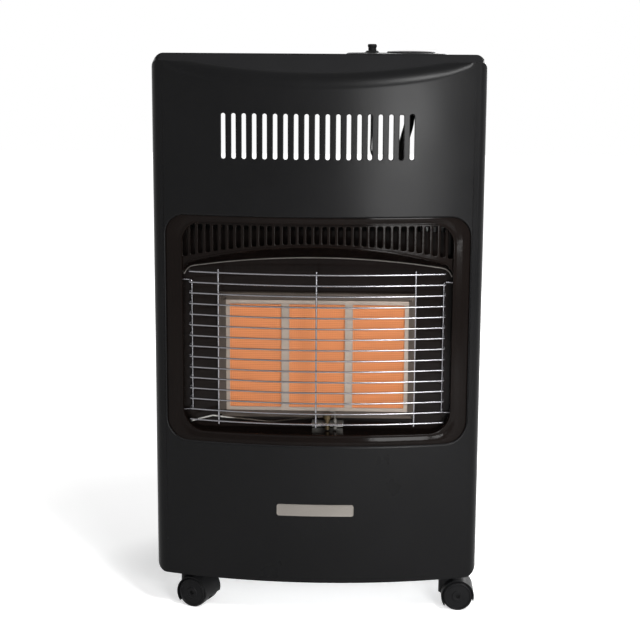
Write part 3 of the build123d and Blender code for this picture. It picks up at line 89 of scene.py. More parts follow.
world = bpy.data.worlds.new("room")
scene.world = world
world.use_nodes = True
tree = world.node_tree
level = add_node(
    tree, "MapRange", {"Value": seen_directly(tree)}, {"To Min": room_light, "To Max": 1.0}
)
backdrop = tree.nodes["Background"]
backdrop.inputs["Color"].default_value = (1, 1, 1, 1)
tree.links.new(level.outputs[0], backdrop.inputs["Strength"])

bpy.ops.object.select_all(action="DESELECT")
bpy.ops.mesh.primitive_plane_add(size=14, location=(0, 0, 0))
floor = bpy.context.object
floor.name = "floor"
floor_paint = bpy.data.materials.new("floor")
floor_paint.use_nodes = True
tree = floor_paint.node_tree
matt = tree.nodes["Principled BSDF"]
matt.inputs["Base Color"].default_value = (0.86, 0.86, 0.86, 1)
matt.inputs["Roughness"].default_value = 1.0
matt.inputs["Specular IOR Level"].default_value = 0.0
spot = add_node(tree, "TexCoord")
away = add_node(tree, "VectorMath", {0: spot.outputs["Object"]}, operation="LENGTH")
fading = add_node(
    tree,
    "MapRange",
    {"Value": away.outputs["Value"]},
    {"From Min": 0.5, "From Max": 1.5, "To Min": floor_glow},
)
glow_level = add_node(
    tree, "Math", {0: seen_directly(tree), 1: fading.outputs[0]}, operation="MULTIPLY"
)
glow = add_node(tree, "Emission", {"Strength": glow_level.outputs[0]})
together = add_node(tree, "AddShader", {0: matt.outputs[0], 1: glow.outputs[0]})
tree.links.new(together.outputs[0], tree.nodes["Material Output"].inputs["Surface"])
floor.data.materials.append(floor_paint)


# The lamps: soft boxes at the photographer's right that draw the sheen on the front, weak ones
# lower down and at the left, and a strong one behind that lights the floor and the lid's edge.
def lamp(name, place, aim, width, height, power):
    """A soft box that looks from its place to the aim."""
    data = bpy.data.lights.new(name, "AREA")
    data.shape = "RECTANGLE"
    data.energy = power
    data.size = width
    data.size_y = height
    box = bpy.data.objects.new(name, data)
    bpy.context.scene.collection.objects.link(box)
    box.location = place
    box.rotation_euler = (Vector(aim) - Vector(place)).to_track_quat("-Z", "Y").to_euler()


lamp("soft_box_right", (0.68, -1.76, 0.56), (0.05, -0.2, 0.55), 0.54, 0.60, 30)
lamp("small_box_right", (0.62, -1.28, 1.56), (0.05, -0.1, 0.65), 0.36, 0.32, 28)
lamp("soft_box_low_right", (1.9, -1.2, 0.9), (0.1, -0.1, 0.4), 0.6, 1.2, 10)
lamp("soft_box_left", (-1.8, -1.9, 1.5), (0, -0.1, 0.4), 1.2, 1.2, 3)
lamp("soft_box_back", (0.7, 2.1, 1.1), (0, 0.1, 0.4), 1.2, 1.0, 34)


# The gas hose: black rubber, 13 mm outside, pushed over the inlet nozzle under the lid and over the
# regulator's outlet on the floor pan, with a screw clamp on each end. It hangs down the right wall.
def finish_of(
    name, colour, roughness, metallic=0.0, specular=0.5, tone=0.10, patch=22, grain=700, relief=0.03
):
    """A finish: its colour and gloss wander in soft patches, and a fine grain stands on it."""
    material = bpy.data.materials.new(name)
    material.use_nodes = True
    tree = material.node_tree
    shader = tree.nodes["Principled BSDF"]
    shader.inputs["Metallic"].default_value = metallic
    shader.inputs["Specular IOR Level"].default_value = specular
    place = {"Vector": add_node(tree, "TexCoord").outputs["Object"]}
    patches = add_node(tree, "TexNoise", place, {"Scale": patch, "Detail": 5})
    colours = add_node(
        tree,
        "Mix",
        {0: patches.outputs["Fac"]},
        {
            6: tuple(c * (1 - tone) for c in colour) + (1,),
            7: tuple(c * (1 + tone) for c in colour) + (1,),
        },
        name="colours",
        data_type="RGBA",
    )
    gloss = add_node(
        tree,
        "MapRange",
        {"Value": patches.outputs["Fac"]},
        {
            "From Min": 0.3,
            "From Max": 0.7,
            "To Min": roughness * 0.86,
            "To Max": min(1.0, roughness * 1.14),
        },
    )
    grains = add_node(tree, "TexNoise", place, {"Scale": grain, "Detail": 3}, name="grains")
    bump = add_node(
        tree,
        "Bump",
        {"Height": grains.outputs["Fac"]},
        {"Strength": relief, "Distance": 0.001},
        name="relief",
    )
    tree.links.new(colours.outputs[2], shader.inputs["Base Color"])
    tree.links.new(gloss.outputs[0], shader.inputs["Roughness"])
    tree.links.new(bump.outputs["Normal"], shader.inputs["Normal"])
    return material


def dress(material, *names):
    """Gives this finish to CAD nodes that stay as they are."""
    for name in names:
        for place in nodes[name].material_slots:
            place.material = material


hose_radius = 0.0065
hose_exit = (0.118, -0.015, 0.656)
hose_route = [
    hose_exit,
    (0.118, -0.015, 0.636),
    (0.110, -0.015, 0.610),
    (0.105, -0.014, 0.580),
    (0.117, -0.012, 0.545),
    (0.149, -0.009, 0.513),
    (0.172, -0.007, 0.478),
    (0.180, -0.006, 0.436),
    (0.183, -0.008, 0.380),
    (0.182, -0.012, 0.305),
    (0.180, -0.018, 0.238),
    (0.180, -0.020, 0.180),
    (0.179, -0.018, 0.128),
    (0.1785, -0.0069, 0.1002),
    (0.178, 0.0143, 0.079),
    (0.178, 0.042, 0.0675),
    (0.178, 0.072, 0.0675),
]
hose_line = bpy.data.curves.new("hose", "CURVE")
hose_line.dimensions = "3D"
hose_spline = hose_line.splines.new("NURBS")
hose_spline.points.add(len(hose_route) - 1)
for point, place in zip(hose_spline.points, hose_route):
    point.co = (*place, 1)
hose_spline.order_u = 3
hose_spline.use_endpoint_u = True
hose_spline.resolution_u = 12
hose_line.bevel_depth = hose_radius
hose_line.bevel_resolution = 6
hose_line.use_fill_caps = True
hose = bpy.data.objects.new("hose", hose_line)
scene.collection.objects.link(hose)
hose_rubber = finish_of(
    "hose_rubber", (0.022, 0.021, 0.020), 0.55, tone=0.2, grain=500, relief=0.12
)
hose_line.materials.append(hose_rubber)
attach(hose, "cabinet")
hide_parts("gas_hose")

clamp_steel = finish_of("clamp_steel", (0.55, 0.54, 0.52), 0.34, 1.0, tone=0.14, grain=1500)
regulator_zinc = finish_of(
    "regulator_zinc", (0.42, 0.41, 0.40), 0.48, 1.0, tone=0.12, grain=900, relief=0.2
)
tap_plastic = finish_of(
    "tap_plastic", (0.30, 0.020, 0.014), 0.42, tone=0.08, grain=800, relief=0.08
)
dress(clamp_steel, "hose_clamps")
dress(regulator_zinc, "regulator_body")
dress(tap_plastic, "regulator_tap")

# The cabinet: 1 mm sheet steel, folded and spot welded, with black baked paint. Its front is bowed
# and runs into a sloping crescent under the lid. Every panel is cut from one block of its form.
cabinet_side = 0.210
cabinet_front = -0.1992
cabinet_back = 0.1925
cabinet_bottom = 0.050
cabinet_top = 0.720
bow_depth = 0.0352
bow_radius = (cabinet_side**2 + bow_depth**2) / (2 * bow_depth)
bow_strips = 62
bow_strips_reach = 0.195
front_corner = 0.012
rear_corner = 0.006
crease_height = 0.6976
crease_slope = 0.65
edge_round = 0.014
sheet = 0.001
panel_split = cabinet_front + 0.059
lid_split = 0.704
seam = 0.0003
paint_specular = 0.078


def bow(x, setback=0.0):
    """Y of the bowed front at x, moved back by setback."""
    return cabinet_front + setback + bow_radius - math.sqrt(bow_radius**2 - x**2)


def start(kind, name, **settings):
    """Adds a primitive as the beginning of a new piece."""
    bpy.ops.object.select_all(action="DESELECT")
    getattr(bpy.ops.mesh, f"primitive_{kind}_add")(**settings)
    piece = bpy.context.object
    piece.name = name
    return piece


def choose(piece):
    """Selects this piece alone."""
    bpy.ops.object.select_all(action="DESELECT")
    piece.select_set(True)
    bpy.context.view_layer.objects.active = piece


def edit(piece):
    """Opens a piece for shaping, with nothing selected."""
    choose(piece)
    bpy.ops.object.transform_apply(location=True, rotation=True, scale=True)
    bpy.ops.object.mode_set(mode="EDIT")
    bpy.ops.mesh.select_mode(type="VERT")
    bpy.ops.mesh.select_all(action="DESELECT")
    return bmesh.from_edit_mesh(piece.data)


def pick(piece, kind, test):
    """Selects the verts, edges or faces that pass the test of themselves and their middle."""
    bpy.ops.mesh.select_mode(type=kind)
    bpy.ops.mesh.select_all(action="DESELECT")
    mesh = bmesh.from_edit_mesh(piece.data)
    for part in {"VERT": mesh.verts, "EDGE": mesh.edges, "FACE": mesh.faces}[kind]:
        if kind == "VERT":
            middle = part.co
        elif kind == "EDGE":
            middle = (part.verts[0].co + part.verts[1].co) / 2
        else:
            middle = part.calc_center_median()
        if test(part, middle):
            part.select_set(True)
    bmesh.update_edit_mesh(piece.data)


def leave():
    """Closes the piece that is open for shaping."""
    bpy.ops.object.mode_set(mode="OBJECT")


def pull(x=0.0, y=0.0, z=0.0):
    """Extrudes what is selected and moves the new end by this much."""
    bpy.ops.mesh.extrude_region_move(TRANSFORM_OT_translate={"value": (x, y, z)})


def place_each(piece, move):
    """Gives each vert of a closed piece the place that move returns for it."""
    for vert in piece.data.vertices:
        vert.co = move(vert.co)
    piece.data.update()


def finish_with(piece, kind, **settings):
    """Adds a modifier with these settings to the piece and applies it."""
    choose(piece)
    modifier = piece.modifiers.new(kind.lower(), kind)
    for name, value in settings.items():
        setattr(modifier, name, value)
    bpy.ops.object.modifier_apply(modifier=modifier.name)


def keep_below(piece, place, normal, fill=False):
    """Cuts the whole piece along a plane and drops what lies on the normal's side."""
    edit(piece)
    bpy.ops.mesh.select_all(action="SELECT")
    bpy.ops.mesh.bisect(plane_co=place, plane_no=normal, use_fill=fill, clear_outer=True)
    leave()


def score(piece, places, axis):
    """Cuts edge lines through the whole piece at these places along an axis, dropping nothing."""
    edit(piece)
    for place in places:
        bpy.ops.mesh.select_all(action="SELECT")
        bpy.ops.mesh.bisect(plane_co=Vector(axis) * place, plane_no=axis)
    leave()


def twin_of(piece, name):
    """A copy of a piece with its own mesh."""
    twin = piece.copy()
    twin.data = piece.data.copy()
    twin.name = name
    scene.collection.objects.link(twin)
    return twin


def joined(pieces):
    """Makes one piece of several and returns it."""
    choose(pieces[0])
    for piece in pieces:
        piece.select_set(True)
    bpy.ops.object.join()
    return pieces[0]


def cut_out(piece, cutter):
    """Takes the cutter's form out of the piece and throws the cutter away."""
    finish_with(piece, "BOOLEAN", operation="DIFFERENCE", solver="EXACT", object=cutter)
    bpy.data.objects.remove(cutter)


def outward(piece):
    """Merges doubles and turns every face outwards."""
    edit(piece)
    bpy.ops.mesh.select_all(action="SELECT")
    bpy.ops.mesh.remove_doubles(threshold=0.00002)
    bpy.ops.mesh.normals_make_consistent(inside=False)
    leave()


def settle(piece, body, material, slot, *stands_for, angle=32):
    """Smooths the finished piece, gives it its finish and hangs it on its body."""
    choose(piece)
    bpy.ops.object.transform_apply(location=True, rotation=True, scale=True)
    bpy.ops.object.shade_smooth_by_angle(angle=math.radians(angle))
    finish_with(piece, "WEIGHTED_NORMAL", mode="FACE_AREA", keep_sharp=True)
    piece.data.materials.clear()
    piece.data.materials.append(material)
    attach(piece, body)
    if stands_for:
        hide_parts(*stands_for)


def round_edges(piece, share_of):
    """Rounds each edge by its share of edge_round."""
    mesh = edit(piece)
    layer = mesh.edges.layers.float.get("bevel_weight_edge")
    if layer is None:
        layer = mesh.edges.layers.float.new("bevel_weight_edge")
    for edge in mesh.edges:
        edge[layer] = share_of(*[vert.co for vert in edge.verts])
    bmesh.update_edit_mesh(piece.data)
    leave()
    finish_with(
        piece,
        "BEVEL",
        width=edge_round,
        segments=6,
        limit_method="WEIGHT",
        use_clamp_overlap=False,
    )


def on_slope(point):
    """Whether a point lies on the crescent's plane."""
    return abs(point.z - crease_height - (point.y - cabinet_front) * crease_slope) < 1e-4


def crease_share(a, b):
    """The crease under the crescent is rounded, less and less towards the cabinet's corners."""
    x = (a.x + b.x) / 2
    if not (on_slope(a) and on_slope(b)) or a.y + b.y > 2 * bow(x) + 0.0004:
        return 0.0
    return max(0.0, min(1.0, 3 * (1 - (x / (cabinet_side - edge_round)) ** 2)))


def rounded_box(name, low, high, corner_low, corner_high, segments=8):
    """A box whose edges along Y are rounded, the lower and the upper ones by their own radius."""
    middle = (Vector(low) + Vector(high)) / 2
    size = Vector(high) - Vector(low)
    box = start("cube", name, size=1, location=middle, scale=size)
    edit(box)

    def along_y(edge, z):
        ends = [vert.co for vert in edge.verts]
        return abs(ends[0].y - ends[1].y) > 1e-5 and abs(ends[0].z - z) < 1e-5

    for z, radius in ((low[2], corner_low), (high[2], corner_high)):
        pick(box, "EDGE", lambda edge, spot: along_y(edge, z))
        bpy.ops.mesh.bevel(offset=radius, segments=segments, affect="EDGES")
    leave()
    return box


block = start(
    "grid",
    "cabinet_block",
    x_subdivisions=bow_strips,
    y_subdivisions=1,
    size=1,
    location=(0, 0, cabinet_bottom),
)


def bowed_plan(point):
    """Turns the grid into the cabinet's outline as seen from above."""
    strip = round((point.x + 0.5) * bow_strips)
    if strip in (0, bow_strips):
        x = math.copysign(cabinet_side, point.x)
    else:
        x = (strip - bow_strips / 2) * 2 * bow_strips_reach / (bow_strips - 2)
    return Vector((x, bow(x) if point.y < 0 else cabinet_back, point.z))


place_each(block, bowed_plan)
edit(block)
bpy.ops.mesh.select_all(action="SELECT")
bpy.ops.mesh.dissolve_faces()
for near_front, corner in ((True, front_corner), (False, rear_corner)):
    pick(
        block,
        "VERT",
        lambda vert, middle: abs(middle.x) > cabinet_side - 1e-4 and (middle.y < 0) == near_front,
    )
    bpy.ops.mesh.bevel(offset=corner, segments=6, affect="VERTICES")
pick(block, "VERT", lambda vert, middle: middle.y > cabinet_back - 1e-5 and abs(middle.x) < 0.2)
bpy.ops.mesh.dissolve_verts()
bpy.ops.mesh.select_all(action="SELECT")
pull(z=cabinet_top - cabinet_bottom)
bpy.ops.mesh.select_all(action="SELECT")
bpy.ops.mesh.normals_make_consistent(inside=False)
leave()
profile = rounded_box(
    "cabinet_profile",
    (-cabinet_side, -0.3, cabinet_bottom),
    (cabinet_side, 0.3, cabinet_top),
    edge_round,
    edge_round,
)
finish_with(block, "BOOLEAN", operation="INTERSECT", solver="EXACT", object=profile)
bpy.data.objects.remove(profile)
outward(block)
keep_below(
    block,
    (0, cabinet_front, crease_height),
    Vector((0, -crease_slope, 1)).normalized(),
    fill=True,
)


def stain_with(tree, share, colour):
    """Lays another colour over a finish's own by the share that a node gives, from 0 to 1."""
    mix = add_node(
        tree,
        "Mix",
        {0: share.outputs[0], 6: tree.nodes["colours"].outputs[2]},
        {7: (*colour, 1)},
        data_type="RGBA",
    )
    tree.links.new(mix.outputs[2], tree.nodes["Principled BSDF"].inputs["Base Color"])


def paint_of(name, colour, roughness, specular):
    """Baked black paint: a faint orange peel, dull patches where it was wiped, a little dust."""
    material = finish_of(
        name, colour, roughness, specular=specular, tone=0.25, patch=9, grain=420, relief=0.04
    )
    tree = material.node_tree
    place = add_node(tree, "TexCoord").outputs["Object"]
    specks = add_node(tree, "TexNoise", {"Vector": place}, {"Scale": 1800, "Detail": 2})
    dust = add_node(
        tree,
        "MapRange",
        {"Value": specks.outputs["Fac"]},
        {"From Min": 0.69, "From Max": 0.78, "To Max": 0.18},
    )
    stain_with(tree, dust, (0.16, 0.15, 0.14))
    return material


# Up-facing faces: the black paint without gloss and painted lighter, a painted sheen in place of
# its reflection.
top_paint_painted_sheen = paint_of("top_paint_painted_sheen", (0.0135, 0.0135, 0.0140), 0.90, 0.0)
black_paint = paint_of("black_paint", (0.0026, 0.0026, 0.0028), 0.31, paint_specular)

# The front panel: one pressing with 19 upright vents, a big opening whose edge is rolled inwards,
# and a narrow flange turned under the floor pan. The vents' edges are pressed in a little too, and
# the top edge stands a few millimetres above the lid, as a low brow that falls back onto it.
vent_count = 19
vent_pitch = 0.013
vent_radius = 0.0027
vent_bottom = 0.5986
vent_top = 0.6549
opening_side = 0.193
opening_bottom = 0.2331
opening_top = 0.5265
opening_corner_bottom = 0.028
opening_corner_top = 0.025
opening_roll = 0.004
opening_roll_round = 0.0024
vent_roll = 0.0021
vent_roll_round = 0.0011
floor_fold = 0.012
brow_start = cabinet_front + (cabinet_top - crease_height) / crease_slope
brow_end = panel_split
brow_fall = 0.88
brow_round = 0.0040
brow_lines = [brow_start]
for back in (0.0165, 0.0145, 0.0125, 0.0104, 0.0085, 0.0065, 0.0045, 0):
    brow_lines.append(brow_end - back)
front_sheet = twin_of(block, "front_sheet")

slot_form = start(
    "cylinder",
    "vent_cutter",
    vertices=24,
    radius=vent_radius,
    depth=0.1,
    location=(0, -0.2, (vent_bottom + vent_top) / 2),
    rotation=(math.pi / 2, 0, 0),
)
half_slot = (vent_top - vent_bottom) / 2 - vent_radius
edit(slot_form)
pick(slot_form, "VERT", lambda vert, middle: middle.z > (vent_bottom + vent_top) / 2)
bpy.ops.transform.translate(value=(0, 0, half_slot))
pick(slot_form, "VERT", lambda vert, middle: middle.z <= (vent_bottom + vent_top) / 2)
bpy.ops.transform.translate(value=(0, 0, -half_slot))
leave()
cutters = []
for i in range(vent_count):
    cutter = twin_of(slot_form, "vent_cutter")
    cutter.location.x = (i - (vent_count - 1) / 2) * vent_pitch
    cutters.append(cutter)
bpy.data.objects.remove(slot_form)
cutters.append(
    rounded_box(
        "opening_cutter",
        (-opening_side, -0.25, opening_bottom),
        (opening_side, -0.15, opening_top),
        opening_corner_bottom,
        opening_corner_top,
    )
)
cut_out(front_sheet, joined(cutters))


def brow_lift(y):
    """How far the brow stands above the lid: straight up the slope, over a round, and down."""
    up = crease_slope * (y - brow_start)
    down = brow_fall * (brow_end - y)
    if min(up, down) <= 0.0006:
        return max(0.0, min(up, down))
    return max(0.0, 0.5 * (up + down - math.sqrt((up - down) ** 2 + brow_round**2)))


def with_brow(point):
    """Lifts a point of the panel's top by the brow, and one of its rounded edge by a share."""
    if point.z < cabinet_top - edge_round:
        return point.copy()
    share = (point.z - cabinet_top + edge_round) / edge_round
    return point + Vector((0, 0, share * brow_lift(point.y)))


def near_top(face, middle):
    """Whether a face is in the panel's top or its rounded edge."""
    return all(vert.co.z > cabinet_top - edge_round - 1e-4 for vert in face.verts)


edit(front_sheet)
for y in brow_lines:
    pick(front_sheet, "FACE", near_top)
    bpy.ops.mesh.bisect(plane_co=(0, y, 0), plane_no=(0, 1, 0))
leave()
place_each(front_sheet, with_brow)
edit(front_sheet)
pick(
    front_sheet,
    "EDGE",
    lambda edge, middle: all(abs(vert.co.y - brow_start) < 1e-4 for vert in edge.verts)
    and abs(middle.z - cabinet_top) < 1e-4,
)
bpy.ops.mesh.dissolve_edges()
leave()
round_edges(front_sheet, crease_share)
keep_below(front_sheet, (0, panel_split, 0), (0, 1, 0))
edit(front_sheet)
pick(
    front_sheet,
    "FACE",
    lambda face, middle: bow(middle.x) + 2e-4 < middle.y < -0.1495
    and abs(middle.x) < opening_side + 0.0015
    and opening_bottom - 0.03 < middle.z < vent_top + 0.015,
)
bpy.ops.mesh.delete(type="FACE")
pick(front_sheet, "FACE", lambda face, middle: face.normal.z < -0.99)
bpy.ops.mesh.delete(type="FACE")


def at_hole(middle, low, high):
    """Whether a place is on the front between these heights, clear of the cabinet's corners."""
    return low - 0.012 < middle.z < high + 0.012 and abs(middle.x) < 0.2


def loose_rim(edge, middle, low, high):
    """The open edge of a hole, before it is pulled inwards."""
    return edge.is_boundary and at_hole(middle, low, high) and middle.y < panel_split - 0.0018


def sharp_rim(edge, middle, low, high):
    """The sharp edge round a hole, after its edge was pulled inwards."""
    if len(edge.link_faces) != 2 or not at_hole(middle, low, high):
        return False
    return abs(middle.y - bow(middle.x)) < 3e-4 and edge.calc_face_angle(0) > 0.9


for low, high, depth, rim in (
    (opening_bottom, opening_top, opening_roll, opening_roll_round),
    (vent_bottom, vent_top, vent_roll, vent_roll_round),
):
    pick(front_sheet, "EDGE", lambda edge, middle: loose_rim(edge, middle, low, high))
    pull(y=depth)
    pick(front_sheet, "EDGE", lambda edge, middle: sharp_rim(edge, middle, low, high))
    bpy.ops.mesh.bevel(offset=rim, segments=4, affect="EDGES")
pick(
    front_sheet,
    "EDGE",
    lambda edge, middle: edge.is_boundary
    and middle.z < cabinet_bottom + 0.0005
    and abs(middle.x) < 0.2,
)
pull(y=floor_fold)
leave()
outward(front_sheet)
finish_with(front_sheet, "SOLIDIFY", thickness=sheet, offset=-1)
settle(front_sheet, "cabinet", black_paint, "black_paint", "front_panel")
# The crescent and the brow's top get the lighter, glossless paint: a painted sheen.
front_sheet.data.materials.append(top_paint_painted_sheen)
for face in front_sheet.data.polygons:
    if face.normal.z > 0.80 or face.center.z > cabinet_top + 0.0002:
        face.material_index = 1

# The two sides: flat sheets that turn under the floor pan and in behind the rear cover. Their top
# edge is set in a little, so that it lies under the lid's.
bottom_flange = 0.026
rear_flange = 0.022
for sign, name in ((-1, "left"), (1, "right")):
    side_sheet = twin_of(block, f"{name}_side_sheet")
    keep_below(side_sheet, (0, panel_split + seam, 0), (0, -1, 0))
    keep_below(side_sheet, (0, 0, lid_split - seam), (0, 0, 1))
    keep_below(side_sheet, (sign * (cabinet_side - bottom_flange), 0, 0), (-sign, 0, 0))
    edit(side_sheet)
    pick(side_sheet, "FACE", lambda face, middle: face.normal.y > 0.99)
    bpy.ops.mesh.bisect(
        plane_co=(sign * (cabinet_side - rear_flange), 0, 0),
        plane_no=(-sign, 0, 0),
        clear_outer=True,
    )
    pick(
        side_sheet,
        "EDGE",
        lambda edge, middle: edge.is_boundary
        and all(
            vert.co.z > lid_split - 0.001 and vert.co.y < cabinet_back - 0.008
            for vert in edge.verts
        ),
    )
    for inwards, up in ((0.0022, 0.0004), (0.0006, 0.0060)):
        pull(x=-sign * inwards, z=up)
    leave()
    outward(side_sheet)
    finish_with(side_sheet, "SOLIDIFY", thickness=sheet, offset=-1)
    settle(side_sheet, "cabinet", black_paint, "black_paint", f"{name}_side")

# The lid: a flat sheet with rounded side edges, a flange turned down behind, and two holes for the
# controls. Its paint is duller than the rest and painted lighter: a painted sheen.
control_y = -0.015
knob_x = 0.118
button_x = 0.066
lid_flange = 0.014
lid_flange_end = 0.1875
lid_sheet = twin_of(block, "lid_sheet")
keep_below(lid_sheet, (0, panel_split + seam, 0), (0, -1, 0))
keep_below(lid_sheet, (0, 0, lid_split + seam), (0, 0, -1))
edit(lid_sheet)
for sign in (-1, 1):
    pick(lid_sheet, "FACE", lambda face, middle: face.normal.y > 0.99)
    bpy.ops.mesh.bisect(plane_co=(sign * lid_flange_end, 0, 0), plane_no=(1, 0, 0))
pick(
    lid_sheet,
    "EDGE",
    lambda edge, middle: edge.is_boundary
    and middle.y > cabinet_back - 1e-4
    and abs(middle.x) < lid_flange_end - 0.0075,
)
pull(z=-lid_flange)
leave()
outward(lid_sheet)
finish_with(lid_sheet, "SOLIDIFY", thickness=sheet, offset=-1)
holes = []
for x, radius in ((knob_x, 0.0373), (button_x, 0.0083)):
    place = (x, control_y, cabinet_top)
    holes.append(start("cylinder", "hole", vertices=64, radius=radius, depth=0.02, location=place))
cut_out(lid_sheet, joined(holes))
settle(lid_sheet, "cabinet", top_paint_painted_sheen, "black_paint", "top_panel")
bpy.data.objects.remove(block)

# The surround: one steel pressing with glossy brown-black enamel. A softly crowned band lies inside
# the opening's rolled edge, and its inner walls run straight back to the plate behind the burners.
surround_side = 0.1715
band_outer_side = 0.1972
band_outer_low = 0.2290
band_outer_high = 0.5306
band_inner_low = 0.2470
band_inner_high = 0.5172
band_corner_low = 0.0315
band_corner_high = 0.0290
band_start = 0.0043
plate_setback = 0.046
pressing = 0.0008
# how far in from the outer to the inner outline each ring of the band lies, and how far back
band_rings = [
    (0.06, 0.0034),
    (0.18, 0.0027),
    (0.34, 0.0024),
    (0.50, 0.0025),
    (0.66, 0.0029),
    (0.80, 0.0036),
    (0.88, 0.0037),
    (0.93, 0.0034),
    (0.965, 0.0036),
    (0.99, 0.0044),
    (1.0, 0.0056),
]


def enamel_of(name, colour):
    """Glossy vitreous enamel: dark, with a faint waviness and a few pin holes."""
    return finish_of(
        name, colour, 0.11, specular=0.045, tone=0.35, patch=14, grain=95, relief=0.10
    )


def flatten_selected(piece, y, fall=0.0):
    """Moves the selected verts of a closed piece straight back to y, and down by fall per metre."""
    for vert in piece.data.vertices:
        if vert.select:
            vert.co.z -= fall * (y - vert.co.y)
            vert.co.y = y
    piece.data.update()


brown_enamel = enamel_of("brown_enamel", (0.0034, 0.0022, 0.0018))
outer_middle = (band_outer_low + band_outer_high) / 2
inner_middle = (band_inner_low + band_inner_high) / 2
outer_half = (band_outer_high - band_outer_low) / 2
inner_half = (band_inner_high - band_inner_low) / 2
surround_band = start(
    "plane", "surround_band", size=1, location=(0, 0, outer_middle), rotation=(math.pi / 2, 0, 0)
)
edit(surround_band)
bpy.ops.mesh.select_all(action="SELECT")
bpy.ops.transform.resize(
    value=(2 * band_outer_side, 1, 2 * outer_half), center_override=(0, 0, outer_middle)
)
bpy.ops.transform.translate(value=(0, band_start, 0))
for above, corner in ((False, band_corner_low), (True, band_corner_high)):
    pick(
        surround_band,
        "VERT",
        lambda vert, middle: len(vert.link_edges) == 2
        and (middle.z > outer_middle) == above
        and abs(middle.x) > band_outer_side - 1e-5,
    )
    bpy.ops.mesh.bevel(offset=corner, segments=10, affect="VERTICES")
bpy.ops.mesh.select_all(action="SELECT")
bpy.ops.mesh.delete(type="ONLY_FACE")
bpy.ops.mesh.select_mode(type="EDGE")
bpy.ops.mesh.select_all(action="SELECT")
ring = (band_outer_side, outer_half, outer_middle, band_start)
for share, setback in band_rings:
    width_now, height_now, middle_now, setback_now = ring
    width = band_outer_side + (surround_side - band_outer_side) * share
    height = outer_half + (inner_half - outer_half) * share
    middle_z = outer_middle + (inner_middle - outer_middle) * share
    pull(y=setback - setback_now, z=middle_z - middle_now)
    bpy.ops.transform.resize(
        value=(width / width_now, 1, height / height_now), center_override=(0, 0, middle_z)
    )
    ring = (width, height, middle_z, setback)
leave()
bow_line_pitch = 0.00494
bow_lines = [i * bow_line_pitch for i in range(-39, 40)]
score(surround_band, bow_lines, (1, 0, 0))
place_each(surround_band, lambda point: Vector((point.x, bow(point.x, point.y), point.z)))
edit(surround_band)
pick(
    surround_band,
    "EDGE",
    lambda edge, middle: edge.is_boundary
    and abs(middle.x) < surround_side + 1e-4
    and band_inner_low - 1e-4 < middle.z < band_inner_high + 1e-4,
)
pull(y=0.004)
leave()
flatten_selected(surround_band, cabinet_front + plate_setback)


def face_front(piece):
    """Merges doubles and turns an open sheet's faces to the front."""
    outward(piece)
    front_face = max(piece.data.polygons, key=lambda face: -face.center.y)
    if front_face.normal.y > 0:
        piece.data.flip_normals()


face_front(surround_band)
finish_with(surround_band, "SOLIDIFY", thickness=pressing, offset=-1)

# The grille: 35 upright slots in the same pressing, their edges rolled back so that the bars
# between them are half round. Under it an arched, beaded lip turns back into a sloping visor.
grille_setback = 0.0060
grille_count = 35
grille_pitch = 0.00988
grille_slot = 0.0056
grille_top = 0.5148
grille_bottom_apex = 0.493
grille_bottom_radius = 0.732
lip_apex = 0.488
lip_radius = 0.590
lip_height = 0.0034
lip_corner = 0.012
visor_slope = 0.512
grille_roll = 0.0030
grille_roll_round = 0.0013
grille_block_y = -0.18
grille_block_z = 0.48


def arch(x, apex, radius):
    """Height of an arch of this radius at x, when its highest point is at the apex."""
    return apex - radius + math.sqrt(radius**2 - x**2)


def wire(name, places, radius):
    """A round wire along these places, its ends closed, as a mesh."""
    line = bpy.data.curves.new(name, "CURVE")
    line.dimensions = "3D"
    spline = line.splines.new("POLY")
    spline.points.add(len(places) - 1)
    for point, place in zip(spline.points, places):
        point.co = (*place, 1)
    line.bevel_depth = radius
    line.bevel_resolution = 2
    line.use_fill_caps = True
    piece = bpy.data.objects.new(name, line)
    scene.collection.objects.link(piece)
    choose(piece)
    bpy.ops.object.convert(target="MESH")
    return bpy.context.object


def lip_line(x):
    """Height of the lip's top: an arch whose ends turn down into the side walls."""
    into_corner = min(lip_corner * 0.97, max(0.0, abs(x) - (surround_side - lip_corner)))
    drop = lip_corner - math.sqrt(lip_corner**2 - into_corner**2)
    return arch(x, lip_apex, lip_radius) + lip_height - drop


grille = start(
    "cube",
    "surround_grille",
    size=1,
    location=(0, grille_block_y, grille_block_z),
    scale=(2 * surround_side + 0.0004, 0.06, 0.06),
)
score(grille, bow_lines, (1, 0, 0))
corner_lines = [sign * x for x in (0.162, 0.164, 0.1661, 0.1693, 0.1705) for sign in (-1, 1)]
score(grille, corner_lines, (1, 0, 0))


def grille_form(point):
    """Bows the block's front, cuts its top level and brings its bottom onto the lip's line."""
    y = bow(point.x, grille_setback) if point.y < grille_block_y else -0.14
    z = band_inner_high - 0.0002 if point.z > grille_block_z else lip_line(point.x)
    return Vector((point.x, y, z))


place_each(grille, grille_form)
slots = []
first_slot = rounded_box(
    "slot",
    (-grille_slot / 2, -0.22, grille_block_z),
    (grille_slot / 2, -0.13, grille_top),
    0.0016,
    0.0016,
    3,
)
for i in range(grille_count):
    slot = twin_of(first_slot, "slot")
    x = (i - (grille_count - 1) / 2) * grille_pitch
    drop = arch(x, grille_bottom_apex, grille_bottom_radius) - grille_block_z
    place_each(
        slot,
        lambda point: Vector((point.x + x, point.y, point.z + (drop if point.z < 0.49 else 0))),
    )
    slots.append(slot)
bpy.data.objects.remove(first_slot)
cut_out(grille, joined(slots))
edit(grille)
pick(
    grille,
    "FACE",
    lambda face, middle: middle.y > bow(middle.x, grille_setback) + 2e-4
    or abs(face.normal.z) > 0.9,
)
bpy.ops.mesh.delete(type="FACE")
pick(
    grille,
    "EDGE",
    lambda edge, middle: edge.is_boundary
    and abs(middle.x) < 0.1712
    and middle.z > arch(middle.x, grille_bottom_apex, grille_bottom_radius) - 0.001
    and middle.z < grille_top + 1e-4,
)
pull(y=grille_roll)
